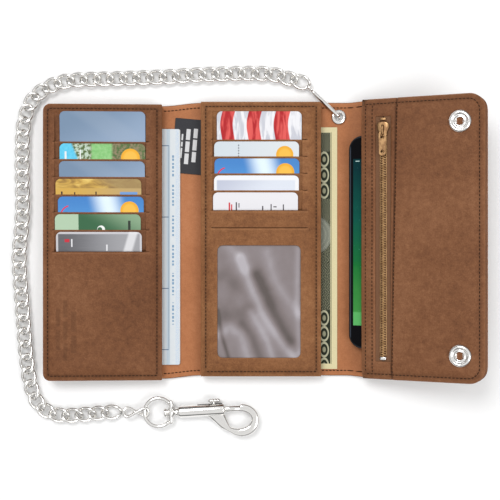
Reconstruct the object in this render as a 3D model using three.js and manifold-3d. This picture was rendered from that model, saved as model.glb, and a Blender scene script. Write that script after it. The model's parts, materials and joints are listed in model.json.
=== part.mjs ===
// Trifold chain wallet, lying open: centre section, left leaf, raised snap flap, and a curb chain with a
// swivel bolt snap. Millimetres. The origin is under the middle of the centre section, +X towards the flap,
// +Y towards the rivet, +Z up.
import * as THREE from "three";
import { mergeVertices } from "three/addons/utils/BufferGeometryUtils.js";
import Module from "manifold-3d";

const wasm = await Module();
wasm.setup();

// Leather layers, heights above the surface each section lies on.
const coverThick = 1.2;
const liningLow = 1.3;
const liningHigh = 1.9;
const sheetLow = 2.0;
const backingLow = 2.95;
const backingHigh = 3.35;
const stackLow = 3.5;
const panelThick = 0.8;
const gap = 0.15;

// Cards stand in the slits at a slant, one in front of the other.
const cardWidth = 54;
const cardLength = 85.6;
const cardThick = 0.76;
const cardSlant = THREE.MathUtils.degToRad(5);
const panelTop = stackLow + cardThick * Math.cos(cardSlant) + cardLength * Math.sin(cardSlant);
const panelLow = panelTop - panelThick;

// Sections and the folds between them.
const centreHalfWidth = 38.4;
const centreHalfHeight = 88.2;
const leftFoldX = -50.9;
const leftFoldZ = 12.05;
const leftRestLift = THREE.MathUtils.degToRad(2.8);
const leafLeft = -138.4;
const leafRight = -63;
const leafLow = -90.2;
const leafHigh = 86;
const flapFoldX = 56;
const flapFoldZ = 19.3;
const flapRestLift = THREE.MathUtils.degToRad(22);
const flapReach = 81.9;
const flapHalfHeight = 89;
const snapReach = 66.7;
const snapHalfSpan = 71.4;

// Card tops, the even step between them, and how far each card sits from its column's left side.
const leftCardTop = 80.8;
const leftSecondTop = 60.4;
const leftCardStep = 11.2;
const leftColumn = -130.4;
const leftCardShift = [2.9, 2.9, 2.6, 0.4, 1.9, 0, 0.7];
const leftSlitLow = leftSecondTop - 6 * leftCardStep - 1.4;
const centreCardTop = 81.2;
const centreSecondTop = 62;
const centreCardStep = 10.8;
const centreColumn = -30.5;
const centreCardShift = [2.4, 0.7, 0.9, 0.6, 0];
const centreSlitLow = centreSecondTop - 4 * centreCardStep;

// Chain, its anchor and the snap hook.
const anchor = { x: 50.4, y: 78.9, rimRadius: 4.8, holeRadius: 2.6 };
const chainWide = 10.5;
const chainTall = 4.6;
const chainMiddle = 2.5;
const hookAxisZ = 4.2;
const ringMiddle = { x: -65.9, y: -111.5, radius: 9.1, wire: 1.2 };
const hookPivot = { x: -58, y: -111.5 };
const hookTilt = THREE.MathUtils.degToRad(3.5);
const barrelRadius = 3.9;
const boreRadius = 2.5;
const boltRadius = 1.8;

const leatherBrown = new THREE.MeshStandardMaterial({ color: 0x8a5a36, roughness: 0.75, metalness: 0 });
const leatherTan = new THREE.MeshStandardMaterial({ color: 0xb97a4e, roughness: 0.6, metalness: 0 });
const nickel = new THREE.MeshStandardMaterial({ color: 0xd8d8da, roughness: 0.2, metalness: 1 });
const brassCoil = new THREE.MeshStandardMaterial({ color: 0xa98654, roughness: 0.35, metalness: 1 });
const zipTape = new THREE.MeshStandardMaterial({ color: 0x7a5432, roughness: 0.9, metalness: 0 });
const clearFilm = new THREE.MeshStandardMaterial({ color: 0xb4aaa8, roughness: 0.25, metalness: 0 });
const paper = new THREE.MeshStandardMaterial({ color: 0xe8e6dc, roughness: 0.8, metalness: 0 });
const blackCard = new THREE.MeshStandardMaterial({ color: 0x2a2a2c, roughness: 0.6, metalness: 0 });
const darkGlass = new THREE.MeshStandardMaterial({ color: 0x10201c, roughness: 0.1, metalness: 0 });
const plasticOf = (color) => new THREE.MeshStandardMaterial({ color, roughness: 0.35, metalness: 0 });

// Booleans: a geometry's merged positions make a solid, and a solid's mesh makes a geometry again.
function solidOf(geometry) {
  const bare = geometry.clone();
  for (const name of ["normal", "uv"]) bare.deleteAttribute(name);
  const merged = mergeVertices(bare, 1e-4);
  const vertProperties = merged.attributes.position.array;
  const triVerts = new Uint32Array(merged.index.array);
  return new wasm.Manifold(new wasm.Mesh({ numProp: 3, vertProperties, triVerts }));
}

function geometryOf(solid) {
  const made = solid.getMesh();
  const geometry = new THREE.BufferGeometry();
  geometry.setAttribute("position", new THREE.BufferAttribute(made.vertProperties.slice(), 3));
  geometry.setIndex(new THREE.BufferAttribute(made.triVerts.slice(), 1));
  return geometry;
}

const join = (...parts) => geometryOf(parts.map(solidOf).reduce((a, b) => a.add(b)));
const cut = (body, ...tools) =>
  geometryOf(tools.map(solidOf).reduce((a, b) => a.subtract(b), solidOf(body)));

// Outlines: a rectangle whose corners are rounded, and a round hole.
function roundedOutline(Kind, x0, x1, y0, y1, radius) {
  const outline = new Kind();
  outline.moveTo(x0 + radius, y0);
  outline.lineTo(x1 - radius, y0);
  if (radius > 0) outline.absarc(x1 - radius, y0 + radius, radius, -Math.PI / 2, 0, false);
  outline.lineTo(x1, y1 - radius);
  if (radius > 0) outline.absarc(x1 - radius, y1 - radius, radius, 0, Math.PI / 2, false);
  outline.lineTo(x0 + radius, y1);
  if (radius > 0) outline.absarc(x0 + radius, y1 - radius, radius, Math.PI / 2, Math.PI, false);
  outline.lineTo(x0, y0 + radius);
  if (radius > 0) outline.absarc(x0 + radius, y0 + radius, radius, Math.PI, 1.5 * Math.PI, false);
  return outline;
}

function roundHole(x, y, radius) {
  const steps = 20;
  const outline = new THREE.Path();
  for (let i = 0; i <= steps; i++) {
    const a = (-2 * Math.PI * i) / steps;
    if (i === 0) outline.moveTo(x + radius, y);
    else outline.lineTo(x + radius * Math.cos(a), y + radius * Math.sin(a));
  }
  return outline;
}

function extruded(shape, depth, curveSegments = 4) {
  return new THREE.ExtrudeGeometry(shape, { depth, bevelEnabled: false, curveSegments });
}

function sheet(x0, x1, y0, y1, z0, z1, radius = 0, holes = []) {
  const shape = roundedOutline(THREE.Shape, x0, x1, y0, y1, radius);
  shape.holes.push(...holes);
  return extruded(shape, z1 - z0).translate(0, 0, z0);
}

const windowIn = (x0, x1, y0, y1, radius = 0) => roundedOutline(THREE.Path, x0, x1, y0, y1, radius);

// A sheet with round corners on its free side only, square where it meets the fold.
function leafSheet(x0, x1, y0, y1, z0, z1, radius, freeSide, holes = []) {
  const shape = new THREE.Shape();
  const left = freeSide === "left";
  const free = left ? x0 : x1;
  const fold = left ? x1 : x0;
  const inward = left ? 1 : -1;
  shape.moveTo(fold, y0);
  shape.lineTo(free + inward * radius, y0);
  if (left) shape.absarc(free + radius, y0 + radius, radius, 1.5 * Math.PI, Math.PI, true);
  else shape.absarc(free - radius, y0 + radius, radius, 1.5 * Math.PI, 2 * Math.PI, false);
  shape.lineTo(free, y1 - radius);
  if (left) shape.absarc(free + radius, y1 - radius, radius, Math.PI, Math.PI / 2, true);
  else shape.absarc(free - radius, y1 - radius, radius, 0, Math.PI / 2, false);
  shape.lineTo(fold, y1);
  shape.holes.push(...holes);
  return extruded(shape, z1 - z0).translate(0, 0, z0);
}

// A closed profile of radius and height turned about the Z axis through x, y.
function turned(profile, x, y, steps = 20) {
  const points = profile.map(([r, z]) => new THREE.Vector2(r, z));
  return new THREE.LatheGeometry(points, steps).rotateX(Math.PI / 2).translate(x, y, 0);
}

function add(group, name, geometry, material) {
  const mesh = new THREE.Mesh(geometry, material);
  mesh.name = name;
  group.add(mesh);
  return mesh;
}

// A section that swings about a fold line along Y, raised by an angle from lying flat.
function foldingSection(foldX, foldZ, lift) {
  const turnedPart = new THREE.Group();
  turnedPart.position.set(foldX, 0, foldZ);
  turnedPart.rotation.y = lift;
  const flat = new THREE.Group();
  flat.position.set(-foldX, 0, -foldZ);
  turnedPart.add(flat);
  return { turnedPart, flat };
}

// A pocket panel: a flat front with openings, and walls down to the backing round its edge.
function pocketPanel(x0, x1, y0, y1, radius, holes) {
  const wall = 1.2;
  const front = sheet(x0, x1, y0, y1, panelLow, panelTop, radius, holes);
  const inner = windowIn(x0 + wall, x1 - wall, y0 + wall, y1 - wall, Math.max(radius - wall, 0));
  const walls = sheet(x0, x1, y0, y1, backingHigh + gap, panelLow + 0.1, radius, [inner]);
  return join(front, walls);
}

// The panel's face above its first card is cut down to the card's back, so that the card slides out over it.
function slideOutNotch(panel, x0, x1, y0, y1) {
  const clearance = 0.12;
  return cut(panel, sheet(x0, x1, y0, y1 + 1, panelTop - cardThick - clearance, panelTop + 1));
}

// A card whose top front edge is level with the panel's face, slanting down into its slit.
function addCard(group, name, left, top, color) {
  const corner = 3.2;
  const body = sheet(0, cardWidth, -cardLength, 0, -cardThick, 0, corner);
  const card = add(group, name, body, plasticOf(color));
  card.position.set(left, top, panelTop);
  card.rotation.x = cardSlant;
}

function addCards(group, side, column, shifts, topOf, colors) {
  shifts.forEach((shift, i) => {
    addCard(group, `${side}_card_${i + 1}`, column + shift, topOf(i), colors[i]);
  });
}

function buildCentre() {
  const group = new THREE.Group();
  const h = centreHalfHeight;
  const w = centreHalfWidth;
  const anchorHole = () => roundHole(anchor.x, anchor.y, anchor.holeRadius + 0.7);
  const [x0, x1] = [leftFoldX + gap, flapFoldX - gap];
  add(group, "centre_cover", sheet(x0, x1, -h, h, 0, coverThick, 0, [anchorHole()]), leatherBrown);
  const lining = sheet(x0, x1, -h + 0.5, h - 0.5, liningLow, liningHigh, 0, [anchorHole()]);
  add(group, "centre_lining", lining, leatherTan);
  const backing = sheet(-w + 0.5, w - 0.5, -h + 0.5, h - 0.5, backingLow, backingHigh);
  add(group, "centre_backing", backing, leatherTan);
  const cardWindow = windowIn(-31.6, 27, centreSlitLow, 82.2);
  const photoWindow = windowIn(-27.7, 25.2, -75.6, -4.1, 3.2);
  const panel = pocketPanel(-w, w, -h + 0.4, h - 0.4, 0, [cardWindow, photoWindow]);
  add(group, "centre_card_panel", slideOutNotch(panel, -31.6, 27, centreCardTop, h), leatherBrown);
  add(group, "id_window_film", sheet(-32, 29.5, -80, 0, 10.45, 10.7), clearFilm);
  add(group, "id_pocket_back", sheet(-32, 29.5, -80, 0, 9.75, 10.05), leatherTan);
  const colors = [0xd8d2d4, 0xd6d7dc, 0x4f86c4, 0xd7dde4, 0xe6e2e4];
  const topOf = (i) => (i === 0 ? centreCardTop : centreSecondTop - (i - 1) * centreCardStep);
  addCards(group, "centre", centreColumn, centreCardShift, topOf, colors);
  const rim = [
    [anchor.holeRadius, 0.3],
    [anchor.holeRadius, 2.9],
    [anchor.rimRadius - 1, 2.9],
    [anchor.rimRadius, 2.05],
    [anchor.holeRadius + 0.5, 2.05],
    [anchor.holeRadius + 0.5, 0.3],
    [anchor.holeRadius, 0.3],
  ];
  add(group, "chain_eyelet", turned(rim.reverse(), anchor.x, anchor.y, 24), nickel);
  add(group, "banknote", sheet(-16.7, 49.3, -83.8, 72.2, sheetLow, 2.15), paper);
  add(group, "sewn_label", sheet(-50.4, -17.4, 43, 77.5, sheetLow, 2.3), blackCard);
  return group;
}

function buildLeftLeaf() {
  const { turnedPart, flat } = foldingSection(leftFoldX, leftFoldZ, leftRestLift);
  const corner = 4.6;
  const layer = (inset, right, z0, z1) =>
    leafSheet(leafLeft + inset, right, leafLow + inset, leafHigh - inset, z0, z1, corner, "left");
  add(flat, "left_cover", layer(0, leftFoldX - gap, 0, coverThick), leatherBrown);
  add(flat, "left_lining", layer(0.5, leftFoldX - gap, liningLow, liningHigh), leatherTan);
  add(flat, "left_backing", layer(0.5, leafRight - 0.5, backingLow, backingHigh), leatherTan);
  const [left, right] = [leftColumn - 1, leftColumn + cardWidth + 4];
  const cardWindow = windowIn(left, right, leftSlitLow, leftCardTop + 1);
  const panel = pocketPanel(leafLeft, leafRight, leafLow, leafHigh, 0, [cardWindow]);
  const notched = slideOutNotch(panel, left, right, leftCardTop, leafHigh);
  add(flat, "left_card_panel", notched, leatherBrown);
  const colors = [0x6f93b5, 0x4fa0a8, 0x6f93b5, 0xc89b3c, 0x3f7fbf, 0x8fae9c, 0x8f989c];
  const topOf = (i) => (i === 0 ? leftCardTop : leftSecondTop - (i - 1) * leftCardStep);
  addCards(flat, "left", leftColumn, leftCardShift, topOf, colors);
  add(flat, "cheque_booklet", sheet(-121.4, -51.4, -81, 71, sheetLow, 2.8), paper);
  const studX = 2 * leftFoldX - (flapFoldX - snapReach);
  for (const [side, y] of [["upper", snapHalfSpan], ["lower", -snapHalfSpan]]) {
    const stud = [
      [0, -1.7],
      [2.6, -1.7],
      [3, -1.2],
      [2.4, -0.7],
      [4.2, -0.15],
      [0, -0.15],
    ];
    add(flat, `${side}_snap_stud`, turned(stud, studX, y), nickel);
  }
  return turnedPart;
}

function buildFlap() {
  const { turnedPart, flat } = foldingSection(flapFoldX, flapFoldZ, -flapRestLift);
  const corner = 10;
  const x = (reach) => flapFoldX + reach;
  const h = flapHalfHeight;
  const faceLow = 9.6;
  const faceHigh = 10.3;
  const frontLow = 10.9;
  const frontHigh = 11.7;
  const zipLeft = x(14.1);
  const zipRight = x(23.9);
  const zipMiddle = (zipLeft + zipRight) / 2;
  const seam = x(25.8);
  const socketHoles = [snapHalfSpan, -snapHalfSpan].map((y) => roundHole(x(snapReach), y, 3.3));
  const layer = (left, inset, z0, z1, holes) =>
    leafSheet(left, x(flapReach - inset), -h + inset, h - inset, z0, z1, corner, "right", holes);
  add(flat, "flap_cover", layer(x(gap), 0, 0, coverThick), leatherBrown);
  add(flat, "flap_lining", layer(x(gap), 0.5, liningLow, liningHigh), leatherTan);
  const face = layer(x(4.8), 0.3, faceLow, faceHigh);
  const wallOuter = layer(x(4.8), 0.3, liningHigh + gap, faceLow + 0.1);
  const phoneRoom = sheet(x(-10), x(flapReach - 1.5), -h + 1.5, h - 1.5, 0, faceLow + 0.05, corner - 1.2);
  add(flat, "flap_pocket_face", join(face, cut(wallOuter, phoneRoom)), leatherBrown);
  const zipWindow = windowIn(zipLeft, zipRight, -77, 77, 1.5);
  const zipPanel = sheet(x(4.8), seam - gap, -h + 0.3, h - 0.3, frontLow, frontHigh, 0, [zipWindow]);
  add(flat, "zip_panel", zipPanel, leatherBrown);
  add(flat, "flap_front", layer(seam + gap, 0.3, frontLow, frontHigh, socketHoles), leatherBrown);
  add(flat, "zipper_tape_left", sheet(zipLeft - 3, zipMiddle - 0.25, -80, 80, 10.42, 10.78), zipTape);
  add(flat, "zipper_tape_right", sheet(zipMiddle + 0.25, zipRight + 1.5, -80, 80, 10.42, 10.78), zipTape);
  add(flat, "zipper_teeth_left", sheet(zipMiddle - 1.7, zipMiddle - 0.1, -74, 74, 10.9, 11.8), brassCoil);
  add(flat, "zipper_teeth_right", sheet(zipMiddle + 0.1, zipMiddle + 1.7, -74, 74, 10.9, 11.8), brassCoil);
  add(flat, "zipper_bottom_stop", sheet(zipMiddle - 2, zipMiddle + 2, -75.9, -74.2, 10.9, 12.3), nickel);
  add(flat, "zipper_top_stop", sheet(zipMiddle - 2, zipMiddle + 2, 74.6, 76, 10.9, 12.1), brassCoil);
  const sliderLow = 64;
  const sliderHigh = 73.5;
  const sliderBody = sheet(zipMiddle - 3.6, zipMiddle + 3.6, sliderLow, sliderHigh, 12, 12.9, 2);
  const bridge = sheet(zipMiddle - 0.9, zipMiddle + 0.9, sliderLow + 0.9, sliderHigh - 2, 12.8, 14.2);
  const bridgeEye = sheet(zipMiddle - 2, zipMiddle + 2, sliderLow + 2, sliderHigh - 4, 12.9, 13.75);
  add(flat, "zipper_slider", cut(join(sliderBody, bridge), bridgeEye), brassCoil);
  const pullEye = windowIn(zipMiddle - 1.3, zipMiddle + 1.3, sliderLow - 1.6, sliderLow + 2.35);
  const pullHole = roundHole(zipMiddle, sliderLow - 9.4, 1.2);
  const [pullLow, pullHigh] = [sliderLow - 12, sliderLow + 2.95];
  const pullHalf = 2.6;
  const pullHoles = [pullEye, pullHole];
  const [pullLeft, pullRight] = [zipMiddle - pullHalf, zipMiddle + pullHalf];
  const pull = sheet(pullLeft, pullRight, pullLow, pullHigh, 13.1, 13.5, 1.6, pullHoles);
  add(flat, "zipper_pull", pull, brassCoil);
  add(flat, "phone", sheet(x(-4.4), x(61.6), -70, 66, 2.3, 9.4, 9), darkGlass);
  for (const [side, y] of [["upper", snapHalfSpan], ["lower", -snapHalfSpan]]) {
    const socket = [
      [3.1, 10.5],
      [3.1, 11.9],
      [7.1, 11.9],
      [6.7, 13.2],
      [5.2, 13.6],
      [4.4, 13.2],
      [2.9, 12.9],
      [2.4, 10.5],
      [3.1, 10.5],
    ];
    add(flat, `${side}_snap_socket`, turned(socket, x(snapReach), y, 24), nickel);
    const cap = [
      [0, -1.5],
      [3.6, -1.3],
      [6.2, -0.6],
      [6.6, -0.15],
      [0, -0.15],
    ];
    add(flat, `${side}_snap_cap`, turned(cap, x(snapReach), y), nickel);
  }
  return turnedPart;
}

// The chain's line on the surface, from the connector round the left of the wallet to the hook.
const chainRoute = [
  [31.4, 98.9],
  [27.2, 100.9],
  [17.9, 103.7],
  [8, 106.2],
  [-7, 106.9],
  [-24.4, 106.6],
  [-41.9, 106],
  [-59.6, 104.8],
  [-77.4, 104.1],
  [-94.8, 103.5],
  [-112.3, 103.1],
  [-124, 102.2],
  [-134, 99.6],
  [-142, 95.2],
  [-147.6, 89.4],
  [-151.2, 81.8],
  [-153.3, 72],
  [-154, 56],
  [-154, 38.8],
  [-153.8, 21.7],
  [-154.6, 6],
  [-156, -11],
  [-155.3, -27],
  [-154, -44],
  [-152.8, -60],
  [-151.4, -76],
  [-149, -92],
  [-145, -104],
  [-138, -111],
  [-129, -113.6],
  [-113, -113],
  [-100, -111.8],
  [-89.8, -111.3],
];

function buildChain() {
  const group = new THREE.Group();
  const points = chainRoute.map(([x, y]) => new THREE.Vector3(x, y, chainMiddle));
  const path = new THREE.CatmullRomCurve3(points, false, "centripetal");
  const section = new THREE.Shape();
  const sides = 8;
  for (let i = 0; i < sides; i++) {
    const a = (2 * Math.PI * (i + 0.5)) / sides;
    const grow = 1 / Math.cos(Math.PI / sides);
    const px = (chainTall / 2) * grow * Math.cos(a);
    const py = (chainWide / 2) * grow * Math.sin(a);
    if (i === 0) section.moveTo(px, py);
    else section.lineTo(px, py);
  }
  section.closePath();
  const run = new THREE.ExtrudeGeometry(section, { steps: 64, bevelEnabled: false, extrudePath: path });
  add(group, "chain_run", run, nickel);
  const start = new THREE.Vector3(32.6, 95.8, 3.9);
  const end = new THREE.Vector3(anchor.x + 0.6, anchor.y - 0.6, 3.9);
  const along = end.clone().sub(start);
  const bar = sheet(0, along.length(), -1.1, 1.1, -0.7, 0.7, 0.5);
  const stub = turned([[0, -3.2], [0.9, -3.2], [0.9, 0.2], [0, 0.2]], along.length() - 0.9, 0, 10);
  const connector = add(group, "connector_link", join(bar, stub), nickel);
  connector.position.copy(start);
  connector.rotation.z = Math.atan2(along.y, along.x);
  return group;
}

// Two round wires side by side with half rings at their ends, on edge at a slant through the swivel ring.
function stadiumLink(length, width, wire) {
  const bend = (width - 2 * wire) / 2;
  const straight = length / 2 - wire - bend;
  const rods = [bend, -bend].map((y) =>
    new THREE.CylinderGeometry(wire, wire, 2 * straight + 0.02, 8).rotateZ(Math.PI / 2).translate(0, y, 0),
  );
  const ends = [0, 1].map((k) => {
    const arc = k ? Math.PI / 2 : -Math.PI / 2;
    const full = new THREE.TorusGeometry(bend, wire, 8, 16);
    const keep = sheet(0, 2 * width, -width, width, -width, width).rotateZ(arc - Math.PI / 2 + Math.PI);
    const half = geometryOf(solidOf(full).intersect(solidOf(keep)));
    return half.translate(k ? -straight : straight, 0, 0);
  });
  return join(...rods, ...ends);
}

function ovalPlate(x, y, halfLength, halfWidth, thick) {
  const oval = new THREE.Shape();
  oval.absellipse(x, y, halfLength, halfWidth, 0, 2 * Math.PI, false, 0);
  return extruded(oval, thick, 16).translate(0, 0, -thick / 2);
}

function buildHook() {
  const group = new THREE.Group();
  const link = add(group, "figure_eight_link", stadiumLink(18, 8, 1.1), nickel);
  link.position.set(-80.3, ringMiddle.y, hookAxisZ);
  link.rotation.x = Math.PI / 3;

  const { x, y, radius, wire } = ringMiddle;
  const loop = new THREE.TorusGeometry(radius, wire, 8, 28).translate(x, y, hookAxisZ);
  const beyond = sheet(x + 7.2, x + 20, y - 20, y + 20, -10, 20);
  const bar = sheet(x + 6.6, x + 9.6, y - 7, y + 7, hookAxisZ - 2, hookAxisZ + 2, 0.6);
  const eye = new THREE.CylinderGeometry(1.9, 1.9, 10, 16).rotateZ(Math.PI / 2);
  eye.translate(x + 8, y, hookAxisZ);
  add(group, "swivel_ring", cut(join(cut(loop, beyond), bar), eye), nickel);

  // The hook's own axis runs along local X from the swivel pivot.
  const hook = new THREE.Group();
  hook.position.set(hookPivot.x, hookPivot.y, hookAxisZ);
  hook.rotation.z = hookTilt;
  group.add(hook);
  const alongX = (from, to, r, steps = 20) =>
    new THREE.CylinderGeometry(r, r, to - from, steps).rotateZ(Math.PI / 2).translate((from + to) / 2, 0, 0);
  const stud = alongX(-3, 4, 1.45, 12);
  const head = alongX(-4.4, -2.4, 3, 16);
  const barrel = alongX(3, 34.6, barrelRadius);
  const bore = alongX(7, 40, boreRadius);
  const slot = sheet(17, 38, 0, 10, -1.3, 1.3);
  const disc = ovalPlate(45.5, -7.8, 11.3, 10.6, 4.6);
  const wedge = new THREE.Shape();
  wedge.moveTo(20, -1);
  wedge.lineTo(24, -4.1);
  wedge.lineTo(35.3, -16);
  wedge.lineTo(42, -18.2);
  wedge.lineTo(45, -8);
  wedge.lineTo(34.6, 1);
  wedge.lineTo(20, 1);
  const wedgeSolid = extruded(wedge, 4.6).translate(0, 0, -2.3);
  const opening = ovalPlate(43.2, -7.4, 8.4, 5.3, 10);
  const mouth = sheet(34.9, 45.2, -4.4, 9, -5, 5);
  add(hook, "hook_body", cut(join(stud, head, barrel, disc, wedgeSolid), bore, slot, opening, mouth), nickel);

  const bolt = alongX(22, 45, boltRadius, 14);
  const post = sheet(26.6, 28.8, 0, 5.5, -1, 1);
  const knob = sheet(24.6, 32.2, 5, 7.2, -1.9, 1.9, 0.5);
  add(hook, "trigger_bolt", join(bolt, post, knob), nickel);
  return group;
}

const wallet = new THREE.Group();
wallet.add(buildCentre(), buildLeftLeaf(), buildFlap(), buildChain(), buildHook());

export default wallet;
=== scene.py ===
# Looks of an open trifold chain wallet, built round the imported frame. Lengths are millimetres until a
# mesh is made.
import json
import math

import bmesh
import bpy
import numpy as np
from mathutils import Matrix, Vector


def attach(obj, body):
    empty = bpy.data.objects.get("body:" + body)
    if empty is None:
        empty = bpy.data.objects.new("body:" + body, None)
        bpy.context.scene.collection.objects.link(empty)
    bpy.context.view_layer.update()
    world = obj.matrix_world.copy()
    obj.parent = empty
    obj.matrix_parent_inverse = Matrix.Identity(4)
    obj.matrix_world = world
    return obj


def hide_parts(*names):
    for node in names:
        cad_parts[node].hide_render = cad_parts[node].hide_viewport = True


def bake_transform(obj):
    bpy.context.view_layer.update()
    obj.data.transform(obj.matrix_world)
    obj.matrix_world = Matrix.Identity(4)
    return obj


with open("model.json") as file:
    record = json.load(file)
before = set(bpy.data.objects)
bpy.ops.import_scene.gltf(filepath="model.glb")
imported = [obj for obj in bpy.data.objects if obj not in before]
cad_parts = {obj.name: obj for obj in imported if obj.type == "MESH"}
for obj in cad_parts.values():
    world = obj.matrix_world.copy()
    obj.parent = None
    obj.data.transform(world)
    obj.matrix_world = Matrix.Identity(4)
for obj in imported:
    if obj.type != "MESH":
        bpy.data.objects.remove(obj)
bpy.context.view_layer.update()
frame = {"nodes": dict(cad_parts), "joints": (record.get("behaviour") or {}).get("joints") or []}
rng = np.random.default_rng(7)
joints = {j["name"]: j for j in frame["joints"]}
metre = 0.001


def foldOf(name, sign):
    # a fold's axis in millimetres, and how far its section is lifted at rest from lying flat
    joint = joints[name]
    x, _, z = joint["pos_m"]
    return {"x": x / metre, "z": z / metre, "lift": sign * math.radians(joint["range_deg"][1])}


folds = {"left": foldOf("left_fold", 1), "flap": foldOf("flap_fold", -1)}


def lay(points, section, share=1.0):
    # turns points of a flat section about its fold by its lift, times a share that may vary from point
    # to point
    points = np.asarray(points, dtype=float)
    if section == "centre":
        return points
    fold = folds[section]
    angle = fold["lift"] * np.asarray(share)
    dx, dz = points[..., 0] - fold["x"], points[..., 2] - fold["z"]
    x = fold["x"] + dx * np.cos(angle) + dz * np.sin(angle)
    z = fold["z"] - dx * np.sin(angle) + dz * np.cos(angle)
    return np.stack([x, points[..., 1], z], axis=-1)


def flatBox(node, section="centre"):
    # a frame node's corners in its section's own flat place
    mesh = frame["nodes"][node].data
    flat = np.empty(len(mesh.vertices) * 3)
    mesh.vertices.foreach_get("co", flat)
    points = flat.reshape(-1, 3) / metre
    points = lay(points, section, -1.0)
    return points.min(axis=0), points.max(axis=0)


def smooth(t):
    t = np.clip(t, 0.0, 1.0)
    return t * t * (3 - 2 * t)


def wave(x, y, seed, size, octaves=3):
    # a smooth field of summed sines in many directions, about 1 high, with bumps of about the given size
    local = np.random.default_rng(seed)
    total = np.zeros(np.broadcast(x, y).shape)
    for octave in range(octaves):
        for _ in range(5):
            angle, phase = local.uniform(0, 2 * math.pi, 2)
            reach = 2 * math.pi / (size / 2**octave) * local.uniform(0.7, 1.3)
            total += np.sin((x * math.cos(angle) + y * math.sin(angle)) * reach + phase) / 2**octave
    return total / 5


def makeObject(name, vertices, faces, materials, body=None, uv=None, shade=True, attributes=None):
    mesh = bpy.data.meshes.new(name)
    mesh.from_pydata((np.asarray(vertices) * metre).tolist(), [], [tuple(f) for f in faces])
    if uv is not None:
        layer = mesh.uv_layers.new(name="UVMap")
        loops = np.empty(len(mesh.loops), dtype=np.int32)
        mesh.loops.foreach_get("vertex_index", loops)
        layer.data.foreach_set("uv", np.asarray(uv, dtype=float)[loops].ravel())
    for key, values in (attributes or {}).items():
        layer = mesh.attributes.new(name=key, type="FLOAT", domain="POINT")
        layer.data.foreach_set("value", np.asarray(values, dtype=float).ravel())
    if shade:
        mesh.shade_smooth()
    obj = bpy.data.objects.new(name, mesh)
    bpy.context.collection.objects.link(obj)
    for material in materials if isinstance(materials, list) else [materials]:
        mesh.materials.append(material)
    if body:
        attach(obj, body)
    return obj


def gridFaces(rows, columns, closeRows=False, closeColumns=False, offset=0, keep=None):
    r = np.arange(rows if closeRows else rows - 1)
    c = np.arange(columns if closeColumns else columns - 1)
    R, C = np.meshgrid(r, c, indexing="ij")
    if keep is not None:
        R, C = R[keep], C[keep]
    R, C = R.ravel(), C.ravel()
    R1, C1 = (R + 1) % rows, (C + 1) % columns
    return np.stack(
        [R * columns + C, R * columns + C1, R1 * columns + C1, R1 * columns + C], axis=1
    ) + offset


def tubeParts(path, radii, sides=12, flat=1.0, closed=False, up=(0, 0, 1), offset=0):
    # rings of a round or flattened section carried along a path; open ends are closed by a point at each
    # end
    path = np.asarray(path, dtype=float)
    count = len(path)
    if closed:
        tangent = np.roll(path, -1, axis=0) - np.roll(path, 1, axis=0)
    else:
        tangent = np.gradient(path, axis=0)
    tangent /= np.linalg.norm(tangent, axis=1)[:, None]
    side = np.cross(np.broadcast_to(np.asarray(up, dtype=float), path.shape), tangent)
    side /= np.linalg.norm(side, axis=1)[:, None]
    lift = np.cross(tangent, side)
    radii = np.broadcast_to(np.asarray(radii, dtype=float), (count,))
    angle = np.arange(sides) * 2 * math.pi / sides
    ring = side[:, None, :] * np.cos(angle)[
        None, :, None
    ] + lift[:, None, :] * np.sin(angle)[None, :, None] * flat
    points = (path[:, None, :] + ring * radii[:, None, None]).reshape(-1, 3)
    faces = gridFaces(count, sides, closeRows=closed, closeColumns=True, offset=offset).tolist()
    if not closed:
        points = np.vstack([points, path[0], path[-1]])
        first, last = offset + count * sides, offset + count * sides + 1
        for i in range(sides):
            j = (i + 1) % sides
            faces.append((first, offset + j, offset + i))
            faces.append((last, offset + (count - 1) * sides + i, offset + (count - 1) * sides + j))
    return points, faces


def gather(name, parts, material, body, section="centre"):
    # several closed shapes in one object
    points, faces, count = [], [], 0
    for p, f in parts:
        points.append(p)
        faces += [tuple(int(i) + count for i in face) for face in f]
        count += len(p)
    return makeObject(name, lay(np.vstack(points), section), faces, material, body)


def turnedParts(profile, centre, steps=40, axis="z"):
    # a profile of (radius, height) turned about an axis through the centre; it starts and ends on the
    # axis or closes
    profile = np.asarray(profile, dtype=float)
    angle = np.arange(steps) * 2 * math.pi / steps
    r, h = profile[:, 0][None, :], profile[:, 1][None, :]
    x, y = r * np.cos(angle)[:, None], r * np.sin(angle)[:, None]
    z = np.broadcast_to(h, x.shape)
    order = {"z": (x, y, z), "x": (z, x, y)}[axis]
    points = np.stack(order, axis=-1).reshape(-1, 3) + np.asarray(centre, dtype=float)
    rows = len(profile)
    faces = gridFaces(steps, rows, closeRows=True).tolist()
    return points, faces


def finishMesh(obj, thickness=0.0, merge=True):
    # merges doubled points and turns faces outwards, then adds any thickness as a live modifier
    if merge:
        bm = bmesh.new()
        bm.from_mesh(obj.data)
        bmesh.ops.remove_doubles(bm, verts=bm.verts, dist=1e-7)
        if not thickness:
            bmesh.ops.recalc_face_normals(bm, faces=bm.faces)
        bm.to_mesh(obj.data)
        bm.free()
    if thickness:
        solid = obj.modifiers.new("Thickness", "SOLIDIFY")
        solid.thickness = thickness * metre
        solid.offset = -1.0
    return obj


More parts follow.
